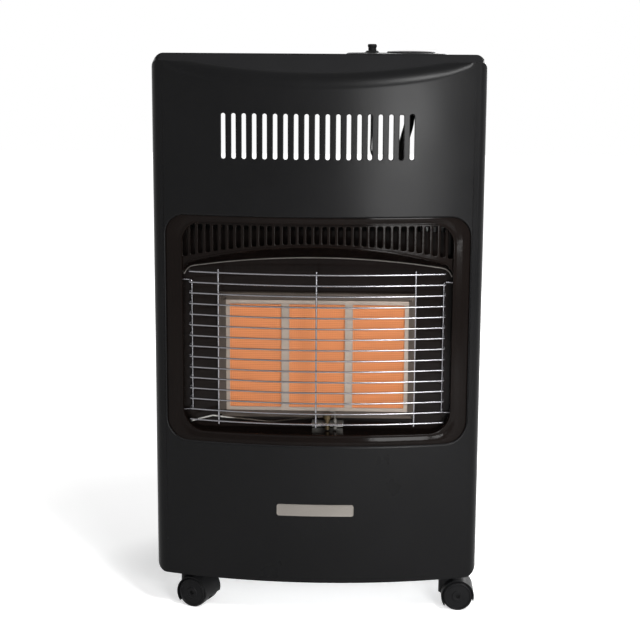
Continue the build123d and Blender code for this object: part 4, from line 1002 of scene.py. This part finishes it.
pick(
    grille,
    "EDGE",
    lambda edge, middle: len(edge.link_faces) == 2
    and abs(middle.y - bow(middle.x, grille_setback)) < 3e-4
    and edge.calc_face_angle(0) > 0.9,
)
bpy.ops.mesh.bevel(offset=grille_roll_round, segments=4, affect="EDGES")
pick(
    grille,
    "EDGE",
    lambda edge, middle: edge.is_boundary
    and abs(middle.z - lip_line(middle.x)) < 9e-4
    and middle.y < bow(middle.x, grille_setback) + 3e-4,
)
for back, down in (
    (-0.0006, 0.0003),
    (-0.0007, 0.0008),
    (-0.0001, 0.0009),
    (0.0006, 0.0007),
    (0.0010, 0.0004),
    (0.0014, 0.0001),
    (0.0012, -0.0006),
    (0.0014, 0.0002),
    (0.0010, 0.0006),
    (0.0010, 0.0005),
):
    pull(y=back, z=-down)
leave()
flatten_selected(grille, cabinet_front + plate_setback, visor_slope)
visor_edge = sorted(
    (vert.co.x, vert.co.y - 0.0006, vert.co.z)
    for vert in grille.data.vertices
    if vert.select and vert.co.y > cabinet_front + plate_setback - 1e-5
)
face_front(grille)
finish_with(grille, "SOLIDIFY", thickness=pressing, offset=-1)
surround = joined([surround_band, grille])
settle(surround, "cabinet", brown_enamel, "brown_enamel", "surround", angle=38)

# The visor's edge: a thin bead where the surround's sheet ends over the guard, from wall to wall.
# Its grey steel colour is a painted highlight along the rim.
visor_rim_radius = 0.0007
visor_rim = wire("visor_rim", visor_edge, visor_rim_radius)
# The bead's grey steel colour is a painted highlight.
painted_highlight_steel = finish_of("painted_highlight_steel", (0.15, 0.14, 0.13), 0.42, 0.85, tone=0.2, patch=60, grain=900)
settle(visor_rim, "cabinet", painted_highlight_steel, "aluminised_steel")

# The wire guard: 15 bent rows of bright steel wire welded on three uprights, with a wire at each
# side whose hooked ends spring into holes in the surround's walls.
wire_radius = 0.0011
guard_setback = 0.003
guard_rows = 15
row_pitch = 0.01379
top_row = 0.4543
bend_x = 0.1634
bend_radius = 0.005
column_xs = (-0.125, 0.0, 0.125)
side_wire_x = 0.1614
side_wire_y = cabinet_front + 0.042
hook_top = 0.441
hook_bottom = 0.270
hook_radius = 0.003
hook_end = 0.1738
row_steps = 16
wire_chrome = finish_of(
    "wire_chrome", (0.165, 0.162, 0.172), 0.24, 1.0, patch=60, grain=900, relief=0.05
)


def bend_to(corner, start_turn, end_turn, plane, radius=bend_radius, steps=6):
    """Places round a quarter bend about a corner's middle, in the XY or XZ plane."""
    places = []
    for i in range(steps + 1):
        turn = math.radians(start_turn + (end_turn - start_turn) * i / steps)
        across, along = radius * math.cos(turn), radius * math.sin(turn)
        if plane == "XY":
            places.append((corner[0] + across, corner[1] + along, corner[2]))
        else:
            places.append((corner[0] + across, corner[1], corner[2] + along))
    return places


bent_x = bend_x - bend_radius
bent_y = bow(bent_x, guard_setback) + bend_radius
half_row = [(bend_x, side_wire_y + wire_radius, 0)]
half_row += bend_to((bent_x, bent_y, 0), 0, -80, "XY")
for i in range(row_steps - 1, -1, -1):
    x = bent_x * i / row_steps
    half_row.append((x, bow(x, guard_setback), 0))
other_half = [(-x, y, z) for x, y, z in reversed(half_row[:-1])]
one_row = wire("guard_row", half_row + other_half, wire_radius)
wires = []
for i in range(guard_rows):
    row = twin_of(one_row, "guard_row")
    row.location.z = top_row - i * row_pitch
    wires.append(row)
bpy.data.objects.remove(one_row)
bottom_row = top_row - (guard_rows - 1) * row_pitch
for x in column_xs:
    y = bow(x, guard_setback + 2 * wire_radius - 0.0003)
    ends = [(x, y, top_row + 0.004), (x, y, bottom_row - 0.004)]
    wires.append(wire("guard_column", ends, wire_radius))
hooked = [(hook_end, side_wire_y, hook_top)]
for height, start_turn in ((hook_top - hook_radius, 90), (hook_bottom + hook_radius, 180)):
    corner = (side_wire_x + hook_radius, side_wire_y, height)
    hooked += bend_to(corner, start_turn, start_turn + 90, "XZ", hook_radius)
hooked.append((hook_end, side_wire_y, hook_bottom))
for sign in (-1, 1):
    places = [(sign * x, y, z) for x, y, z in hooked]
    wires.append(wire("guard_side", places, wire_radius))
guard = joined(wires)
guard.name = "guard_wires"
settle(guard, "cabinet", wire_chrome, "chrome_wire", "wire_guard", angle=60)

# The burners: three perforated ceramic plaques, sealed with fibre on the steel boxes in which their
# gas and air mix. A dark enamelled plate stands behind them and closes the surround.
plaque_hole_pitch = 0.0024
plaque_hole_radius = 0.00062


def ceramic_of(name, colour, hole_shade_colour):
    """Fired ceramic, salmon pink, with square rows of fine gas holes between raised ribs; the holes
    are painted darker, a painted shade.
    """
    material = finish_of(name, colour, 0.85, specular=0.2, patch=30, grain=1600, relief=0.15)
    tree = material.node_tree
    parts = add_node(tree, "SeparateXYZ", {0: add_node(tree, "TexCoord").outputs["Object"]})
    squares = {}
    for i, axis in enumerate("XZ"):
        wave = add_node(
            tree,
            "Math",
            {0: parts.outputs[axis]},
            {1: plaque_hole_pitch / 2},
            operation="PINGPONG",
        ).outputs[0]
        squares[i] = add_node(tree, "Math", {0: wave, 1: wave}, operation="MULTIPLY").outputs[0]
    total = add_node(tree, "Math", squares, operation="ADD")
    reach = add_node(tree, "Math", {0: total.outputs[0]}, operation="SQRT")
    hole = add_node(
        tree,
        "MapRange",
        {"Value": reach.outputs[0]},
        {
            "From Min": plaque_hole_radius * 0.8,
            "From Max": plaque_hole_radius * 1.2,
            "To Min": 1.0,
            "To Max": 0.0,
        },
    )
    # The holes are painted darker: painted shade inside them.
    stain_with(tree, hole, hole_shade_colour)
    sink = add_node(
        tree,
        "Bump",
        {"Height": hole.outputs[0], "Normal": tree.nodes["relief"].outputs[0]},
        {"Strength": 0.6, "Distance": 0.0008},
        invert=True,
    )
    tree.links.new(sink.outputs[0], tree.nodes["Principled BSDF"].inputs["Normal"])
    return material


# The second colour is the painted shade in the plaques' holes.
plaque_ceramic = ceramic_of("plaque_ceramic", (0.44, 0.160, 0.061), (0.17, 0.045, 0.018))
dress(plaque_ceramic, "ceramic_plaque_left", "ceramic_plaque_centre", "ceramic_plaque_right")
plate_enamel = enamel_of("plate_enamel", (0.0055, 0.0040, 0.0036))
dress(plate_enamel, "reflector")
bay_black = finish_of(
    "bay_black",
    (0.010, 0.0095, 0.009),
    0.75,
    specular=0.1,
    tone=0.25,
    patch=20,
    grain=600,
    relief=0.1,
)
dress(bay_black, "inner_partition")
gasket_fibre = finish_of(
    "gasket_fibre", (0.70, 0.66, 0.58), 0.95, tone=0.15, grain=1200, relief=0.4
)
dress(gasket_fibre, "plaque_gaskets")
burner_steel = finish_of("burner_steel", (0.30, 0.29, 0.27), 0.45, 0.9, tone=0.15)
dress(burner_steel, "burner_left", "burner_centre", "burner_right", "pilot_bracket")

# The plaques' tray: a shallow pressing of heat-browned steel round all three burners. Folded strips
# of bright steel are welded in its window, round the plaques and between them.
tray_half = 0.127
tray_low = 0.261
tray_high = 0.426
tray_front = cabinet_front + 0.0372
window_half = 0.117
window_low = 0.271
window_high = 0.416
tray_rim = 0.0012
tray_depth = 0.0072
strip_half = 0.0046
strip_x = 0.04075
strip_height = 0.0011
trim_fold = 0.0044
trim_lap = 0.0006


def framed(name, half, low, high, corner):
    """A flat upright sheet with rounded corners, facing the front."""
    centre = (0, tray_front, (low + high) / 2)
    flat = start("plane", name, size=1, location=centre, rotation=(math.pi / 2, 0, 0))
    edit(flat)
    pick(flat, "VERT", lambda vert, middle: True)
    bpy.ops.transform.resize(value=(2 * half, 1, high - low), center_override=centre)
    bpy.ops.mesh.bevel(offset=corner, segments=5, affect="VERTICES")
    leave()
    return flat


tray = framed("tray", tray_half, tray_low, tray_high, 0.004)
edit(tray)
pick(tray, "FACE", lambda face, middle: True)
bpy.ops.mesh.inset(thickness=tray_rim, depth=0)
pick(tray, "EDGE", lambda edge, middle: edge.is_boundary)
bpy.ops.transform.translate(value=(0, 0.0010, 0))
pull(y=tray_depth)
pick(tray, "FACE", lambda face, middle: len(face.verts) > 8)
bpy.ops.mesh.inset(thickness=tray_half - window_half - tray_rim, depth=0)
bpy.ops.mesh.delete(type="FACE")
leave()
outward(tray)
finish_with(tray, "SOLIDIFY", thickness=0.0008, offset=-1)
tray_steel = finish_of(
    "tray_steel", (0.040, 0.031, 0.025), 0.34, 0.7, tone=0.25, patch=30, grain=900
)
settle(tray, "cabinet", tray_steel, "aluminised_steel", "burner_frame")

trim = framed(
    "trim", window_half + trim_lap, window_low - trim_lap, window_high + trim_lap, 0.0015
)
for x in (strip_x - strip_half, strip_x + strip_half, window_half - trim_fold):
    score(trim, [-x, x], (1, 0, 0))
score(trim, [window_low + trim_fold, window_high - trim_fold], (0, 0, 1))
edit(trim)


def in_window(middle):
    """Whether a place is in one of the three windows that the strips leave for the plaques."""
    x = abs(middle.x)
    across = x < strip_x - strip_half or strip_x + strip_half < x < window_half - trim_fold
    return across and window_low + trim_fold < middle.z < window_high - trim_fold


pick(trim, "FACE", lambda face, middle: in_window(middle))
bpy.ops.mesh.delete(type="FACE")
bpy.ops.mesh.select_mode(type="FACE")
bpy.ops.mesh.select_all(action="SELECT")
bpy.ops.mesh.dissolve_limited(angle_limit=0.02)
pick(
    trim,
    "EDGE",
    lambda edge, middle: edge.is_boundary
    and abs(middle.x) < window_half - trim_fold + 1e-4
    and window_low + trim_fold - 1e-4 < middle.z < window_high - trim_fold + 1e-4,
)
pull(y=-strip_height)
leave()
outward(trim)
finish_with(trim, "SOLIDIFY", thickness=0.0007, offset=-1)
finish_with(trim, "BEVEL", width=0.00025, segments=2, limit_method="ANGLE")
trim_steel = finish_of(
    "trim_steel", (0.21, 0.175, 0.148), 0.36, 0.85, tone=0.16, patch=40, grain=900
)
settle(trim, "cabinet", trim_steel, "aluminised_steel")

# The controls' housing: one black plastic moulding screwed to the lid. Its oval plate has a rounded
# rim, a bowl that the knob turns in, and a small cone that guides the igniter's button.
bezel_middle_x = 0.099
bezel_half = 0.069
bezel_half_width = 0.042
bezel_top = cabinet_top + 0.006
bowl_floor = cabinet_top - 0.012


def turned(name, x, y, rings, vertices=64):
    """Turns a form about the upright line through x and y, from rings of radius and height."""
    radius, height = rings[0]
    form = start(
        "circle",
        name,
        vertices=vertices,
        radius=radius,
        location=(x, y, height),
        fill_type="NGON",
    )
    edit(form)
    bpy.ops.mesh.select_all(action="SELECT")
    for next_radius, next_height in rings[1:]:
        pull(z=next_height - height)
        share = next_radius / radius
        bpy.ops.transform.resize(value=(share, share, 1), center_override=(x, y, next_height))
        radius, height = next_radius, next_height
    leave()
    outward(form)
    return form


def plastic_of(name, colour, roughness, relief=0.25):
    """Moulded plastic: an even fine spark-eroded grain, with slightly shinier rubbed patches."""
    return finish_of(
        name, colour, roughness, specular=0.05, tone=0.18, patch=45, grain=1500, relief=relief
    )


def from_axis(middle, x):
    """How far a place is from the upright line about which the control at x turns or slides."""
    return (middle.xy - Vector((x, control_y))).length


black_plastic = plastic_of("black_plastic", (0.0080, 0.0080, 0.0082), 0.38)
bezel = start(
    "cube",
    "bezel",
    size=1,
    location=(bezel_middle_x, control_y, (cabinet_top + bezel_top) / 2),
    scale=(2 * bezel_half, 2 * bezel_half_width, bezel_top - cabinet_top),
)
edit(bezel)
pick(bezel, "EDGE", lambda edge, middle: abs(middle.z - (cabinet_top + bezel_top) / 2) < 1e-5)
bpy.ops.mesh.bevel(offset=bezel_half_width - 0.0001, segments=24, affect="EDGES")
leave()
below = cabinet_top - 0.001
above = bezel_top + 0.001
bowl_hole = turned("bowl_hole", knob_x, control_y, [(0.0362, below), (0.0362, above)], 96)
guide_hole = turned("guide_hole", button_x, control_y, [(0.0075, below), (0.0075, above)])
cut_out(bezel, joined([bowl_hole, guide_hole]))
edit(bezel)
pick(
    bezel,
    "EDGE",
    lambda edge, middle: abs(middle.z - bezel_top) < 1e-5
    and len(edge.link_faces) == 2
    and edge.calc_face_angle(0) > 0.8
    and from_axis(middle, knob_x) > 0.039
    and from_axis(middle, button_x) > 0.012,
)
bpy.ops.mesh.bevel(offset=0.005, segments=6, affect="EDGES")
leave()
bowl = turned(
    "bowl",
    knob_x,
    control_y,
    [
        (0.0040, bowl_floor),
        (0.0360, bowl_floor),
        (0.0370, bowl_floor + 0.001),
        (0.0370, cabinet_top + 0.002),
        (0.0370, bezel_top - 0.0010),
        (0.0366, bezel_top - 0.0003),
        (0.0360, bezel_top),
        (0.0355, bezel_top - 0.0003),
        (0.0351, bezel_top - 0.0010),
        (0.0350, bowl_floor + 0.004),
        (0.0344, bowl_floor + 0.0026),
        (0.0330, bowl_floor + 0.0020),
        (0.0040, bowl_floor + 0.0020),
    ],
    96,
)
guide = turned(
    "guide",
    button_x,
    control_y,
    [
        (0.0080, cabinet_top - 0.017),
        (0.0080, bezel_top - 0.0005),
        (0.0112, bezel_top - 0.0003),
        (0.0104, bezel_top + 0.0003),
        (0.0098, bezel_top + 0.0007),
        (0.0080, bezel_top + 0.0024),
        (0.0074, bezel_top + 0.0029),
        (0.0070, bezel_top + 0.0030),
        (0.0066, bezel_top + 0.0028),
        (0.00645, bezel_top + 0.0022),
        (0.00645, cabinet_top - 0.017),
    ],
)
for form in (bowl, guide):
    edit(form)
    pick(form, "FACE", lambda face, middle: abs(face.normal.z) > 0.99 and len(face.verts) > 8)
    bpy.ops.mesh.delete(type="ONLY_FACE")
    pick(form, "EDGE", lambda edge, middle: edge.is_boundary)
    bpy.ops.mesh.bridge_edge_loops()
    leave()
bezel = joined([bezel, bowl, guide])
settle(bezel, "cabinet", black_plastic, "black_plastic", "control_bezel", angle=40)

# The knob: a broad plastic disc with a fluted rim and a grip bar left standing between two scooped
# halves. It is pushed down and turned with its spindle.
knob_radius = 0.033
knob_low = cabinet_top - 0.0055
knob_high = cabinet_top + 0.0082
flute_count = 36
flute_depth = 0.0007
grip_half = 0.0045
knob = turned(
    "knob_disc",
    knob_x,
    control_y,
    [
        (0.0310, knob_low),
        (knob_radius - 0.0006, knob_low + 0.0002),
        (knob_radius, knob_low + 0.0010),
        (knob_radius, knob_high - 0.0046),
        (knob_radius, knob_high - 0.0025),
        (knob_radius - 0.0003, knob_high - 0.0014),
        (knob_radius - 0.0010, knob_high - 0.0005),
        (knob_radius - 0.0022, knob_high),
    ],
    144,
)


def fluted(point):
    """Presses shallow flutes into the rim, but not into the rounded edge above it."""
    away = Vector((point.x - knob_x, point.y - control_y, 0))
    if away.length < knob_radius - 0.0001 or point.z > knob_high - 0.0030:
        return point.copy()
    turn = math.atan2(away.y, away.x)
    return point - away.normalized() * flute_depth * max(0.0, math.cos(flute_count * turn))


place_each(knob, fluted)
scoop_rings = [
    (0.0262, knob_high - 0.0050),
    (0.0270, knob_high - 0.0042),
    (0.0280, knob_high),
    (0.0282, knob_high + 0.001),
]
scoops = []
for sign in (-1, 1):
    scoop = turned("scoop", knob_x, control_y, scoop_rings, 96)
    keep_below(scoop, (0, control_y + sign * grip_half, 0), (0, -sign, 0), fill=True)
    scoops.append(scoop)
cut_out(knob, joined(scoops))
spindle_rings = [(0.0031, knob_low - 0.001), (0.0031, cabinet_top + 0.004)]
cut_out(knob, turned("spindle_hole", knob_x, control_y, spindle_rings, 32))
edit(knob)
pick(
    knob,
    "EDGE",
    lambda edge, middle: len(edge.link_faces) == 2
    and middle.z > knob_high - 0.0001
    and from_axis(middle, knob_x) < 0.0285
    and edge.calc_face_angle(0) > 0.8,
)
bpy.ops.mesh.bevel(offset=0.0006, segments=2, affect="EDGES")
leave()
settle(knob, "knob", black_plastic, "black_plastic", "control_knob", angle=35)

# The igniter's button: a moulded cap on a narrower neck. Pushed down, its stem strikes the piezo
# unit under the lid, and a spring lifts it again.
button_top = cabinet_top + 0.0175
button = turned(
    "button_cap",
    button_x,
    control_y,
    [
        (0.0030, cabinet_top - 0.030),
        (0.0030, cabinet_top - 0.0062),
        (0.0050, cabinet_top - 0.0060),
        (0.0055, cabinet_top - 0.0056),
        (0.0055, button_top - 0.0046),
        (0.0057, button_top - 0.0040),
        (0.0061, button_top - 0.0036),
        (0.00615, button_top - 0.0030),
        (0.00615, button_top - 0.0013),
        (0.0059, button_top - 0.0005),
        (0.0053, button_top - 0.0001),
        (0.0046, button_top),
        (0.0038, button_top - 0.0002),
        (0.0015, button_top - 0.0003),
    ],
    48,
)
settle(button, "igniter", black_plastic, "black_plastic", "igniter_button", angle=35)

# The name plate's blank: thin brushed aluminium, pressed so that a narrow border stands round it.
# It is bent to the front's bow and glued on.
badge_half = 0.0495
badge_low = 0.1404
badge_high = 0.1558
badge_sheet = 0.0007
badge_corner = 0.003
badge = rounded_box(
    "badge",
    (-badge_half, 0, badge_low),
    (badge_half, badge_sheet, badge_high),
    badge_corner,
    badge_corner,
    5,
)
edit(badge)
pick(badge, "FACE", lambda face, middle: face.normal.y < -0.99)
bpy.ops.mesh.inset(thickness=0.0004, depth=0)
bpy.ops.mesh.inset(thickness=0.0007, depth=0)
bpy.ops.transform.translate(value=(0, 0.0003, 0))
leave()
score(badge, [i * 0.0055 for i in range(-9, 10)], (1, 0, 0))
place_each(badge, lambda point: Vector((point.x, bow(point.x, point.y - 0.0008), point.z)))
outward(badge)
badge_metal = finish_of(
    "badge_metal", (0.135, 0.123, 0.110), 0.46, 0.55, patch=50, grain=900, relief=0.05
)
badge_tree = badge_metal.node_tree
badge_spot = add_node(badge_tree, "TexCoord").outputs["Object"]
brushing = add_node(badge_tree, "Mapping", {"Vector": badge_spot}, {"Scale": (0.02, 1, 1)})
badge_tree.links.new(brushing.outputs[0], badge_tree.nodes["grains"].inputs["Vector"])
settle(badge, "cabinet", badge_metal, "aluminium_pipe", "badge_plate")

# The gas train: brass injectors and fittings, aluminium pipes, the valve under the knob and the
# piezo unit under the button, with their leads. What stands near the flames is sooty. The flame
# sensor's lead is painted darker from the plaques' edge inwards: a painted shadow.
brass = finish_of("brass", (0.62, 0.45, 0.20), 0.33, 1.0, patch=60)
dress(brass, "injectors", "valve_body", "valve_plunger", "inlet_nozzle", "spindle")
sooty_brass = finish_of("sooty_brass", (0.050, 0.038, 0.022), 0.50, 1.0, tone=0.35, patch=120)
dress(sooty_brass, "pilot_burner")
aluminium = finish_of("aluminium", (0.60, 0.60, 0.60), 0.40, 1.0, patch=40)
dress(aluminium, "pipe_sides", "pipe_centre", "pipe_pilot", "injector_rail")
spring_steel = finish_of("spring_steel", (0.40, 0.40, 0.40), 0.30, 1.0)
dress(spring_steel, "valve_spring")
lead_steel = finish_of("lead_steel", (0.42, 0.41, 0.39), 0.30, 1.0)
lead_tree = lead_steel.node_tree
lead_spot = add_node(lead_tree, "TexCoord").outputs["Object"]
along = add_node(lead_tree, "SeparateXYZ", {0: lead_spot})
# Painted shadow: the lead is darker from x -0.122 to -0.104 and dark beyond.
lead_painted_shadow = add_node(
    lead_tree,
    "MapRange",
    {"Value": along.outputs["X"]},
    {"From Min": -0.122, "From Max": -0.104},
)
stain_with(lead_tree, lead_painted_shadow, (0.030, 0.026, 0.022))
dress(lead_steel, "thermocouple_lead")
galvanised = finish_of("galvanised", (0.46, 0.47, 0.48), 0.45, 0.9, tone=0.18, patch=70, grain=600)
dress(galvanised, "base_plate", "valve_bracket", "hinge_rod", "base_screws", "igniter_nut")
sooty_ceramic = finish_of("sooty_ceramic", (0.075, 0.070, 0.062), 0.45, tone=0.35, patch=150)
dress(sooty_ceramic, "spark_electrode")
silicone = finish_of("silicone", (0.03, 0.03, 0.03), 0.5)
dress(silicone, "igniter_lead")
dress(black_plastic, "piezo_body")

# The rear cover: a flat steel door with pressed louvres over the cylinder's bay. It hangs on a rod
# by two hooks, and its finger slot lets it be lifted and swung down.
dress(black_paint, "rear_cover")

# The casters: two plastic wheels turn on a steel pin, one on each side of a web, under a plastic
# hood. The hood swivels on a steel stem in its socket.
wheel_radius = 0.020
caster_trail = 0.016
wheel_near = 0.00325
wheel_far = 0.02025
wheel_plastic = plastic_of("wheel_plastic", (0.0060, 0.0060, 0.0064), 0.40, relief=0.2)
wheel_rings = [
    (0.00306, wheel_near),
    (0.0180, wheel_near),
    (0.0192, wheel_near + 0.0004),
    (0.0199, wheel_near + 0.0013),
    (wheel_radius, wheel_near + 0.0030),
    (wheel_radius, wheel_near + 0.0085),
    (wheel_radius, wheel_far - 0.0040),
    (0.0198, wheel_far - 0.0024),
    (0.0191, wheel_far - 0.0010),
    (0.0180, wheel_far - 0.0002),
    (0.0169, wheel_far),
    (0.0164, wheel_far - 0.0004),
    (0.0160, wheel_far - 0.0013),
    (0.0150, wheel_far - 0.0015),
    (0.0085, wheel_far - 0.0010),
    (0.0074, wheel_far - 0.0008),
    (0.0068, wheel_far - 0.0001),
    (0.0060, wheel_far),
    (0.0040, wheel_far),
    (0.00306, wheel_far - 0.0004),
    (0.00306, wheel_near + 0.0002),
]
dress(wheel_plastic, "caster_sockets")
for corner, x, y, heading in (
    ("front_left", -0.172, -0.140, -22),
    ("front_right", 0.172, -0.140, 0),
    ("rear_left", -0.165, 0.150, -10),
    ("rear_right", 0.165, 0.150, 8),
):
    dress(wheel_plastic, f"caster_fork_{corner}")
    trail = Vector((math.cos(math.radians(heading)), math.sin(math.radians(heading)), 0))
    axle = Vector((trail.y, -trail.x, 0))
    middle = Vector((x, y, wheel_radius)) + trail * caster_trail
    pair = []
    for sign in (-1, 1):
        wheel = turned("wheel", 0, 0, wheel_rings, 56)
        edit(wheel)
        pick(wheel, "FACE", lambda face, middle: len(face.verts) > 8)
        bpy.ops.mesh.delete(type="ONLY_FACE")
        leave()
        outward(wheel)
        turn = (axle * sign).to_track_quat("Z", "Y").to_matrix().to_4x4()
        wheel.matrix_world = Matrix.Translation(middle) @ turn
        pair.append(wheel)
    wheels = joined(pair)
    wheels.name = f"wheels_{corner}_pair"
    settle(
        wheels,
        f"wheels_{corner}",
        wheel_plastic,
        "wheel_plastic",
        f"caster_wheels_{corner}",
        angle=35,
    )
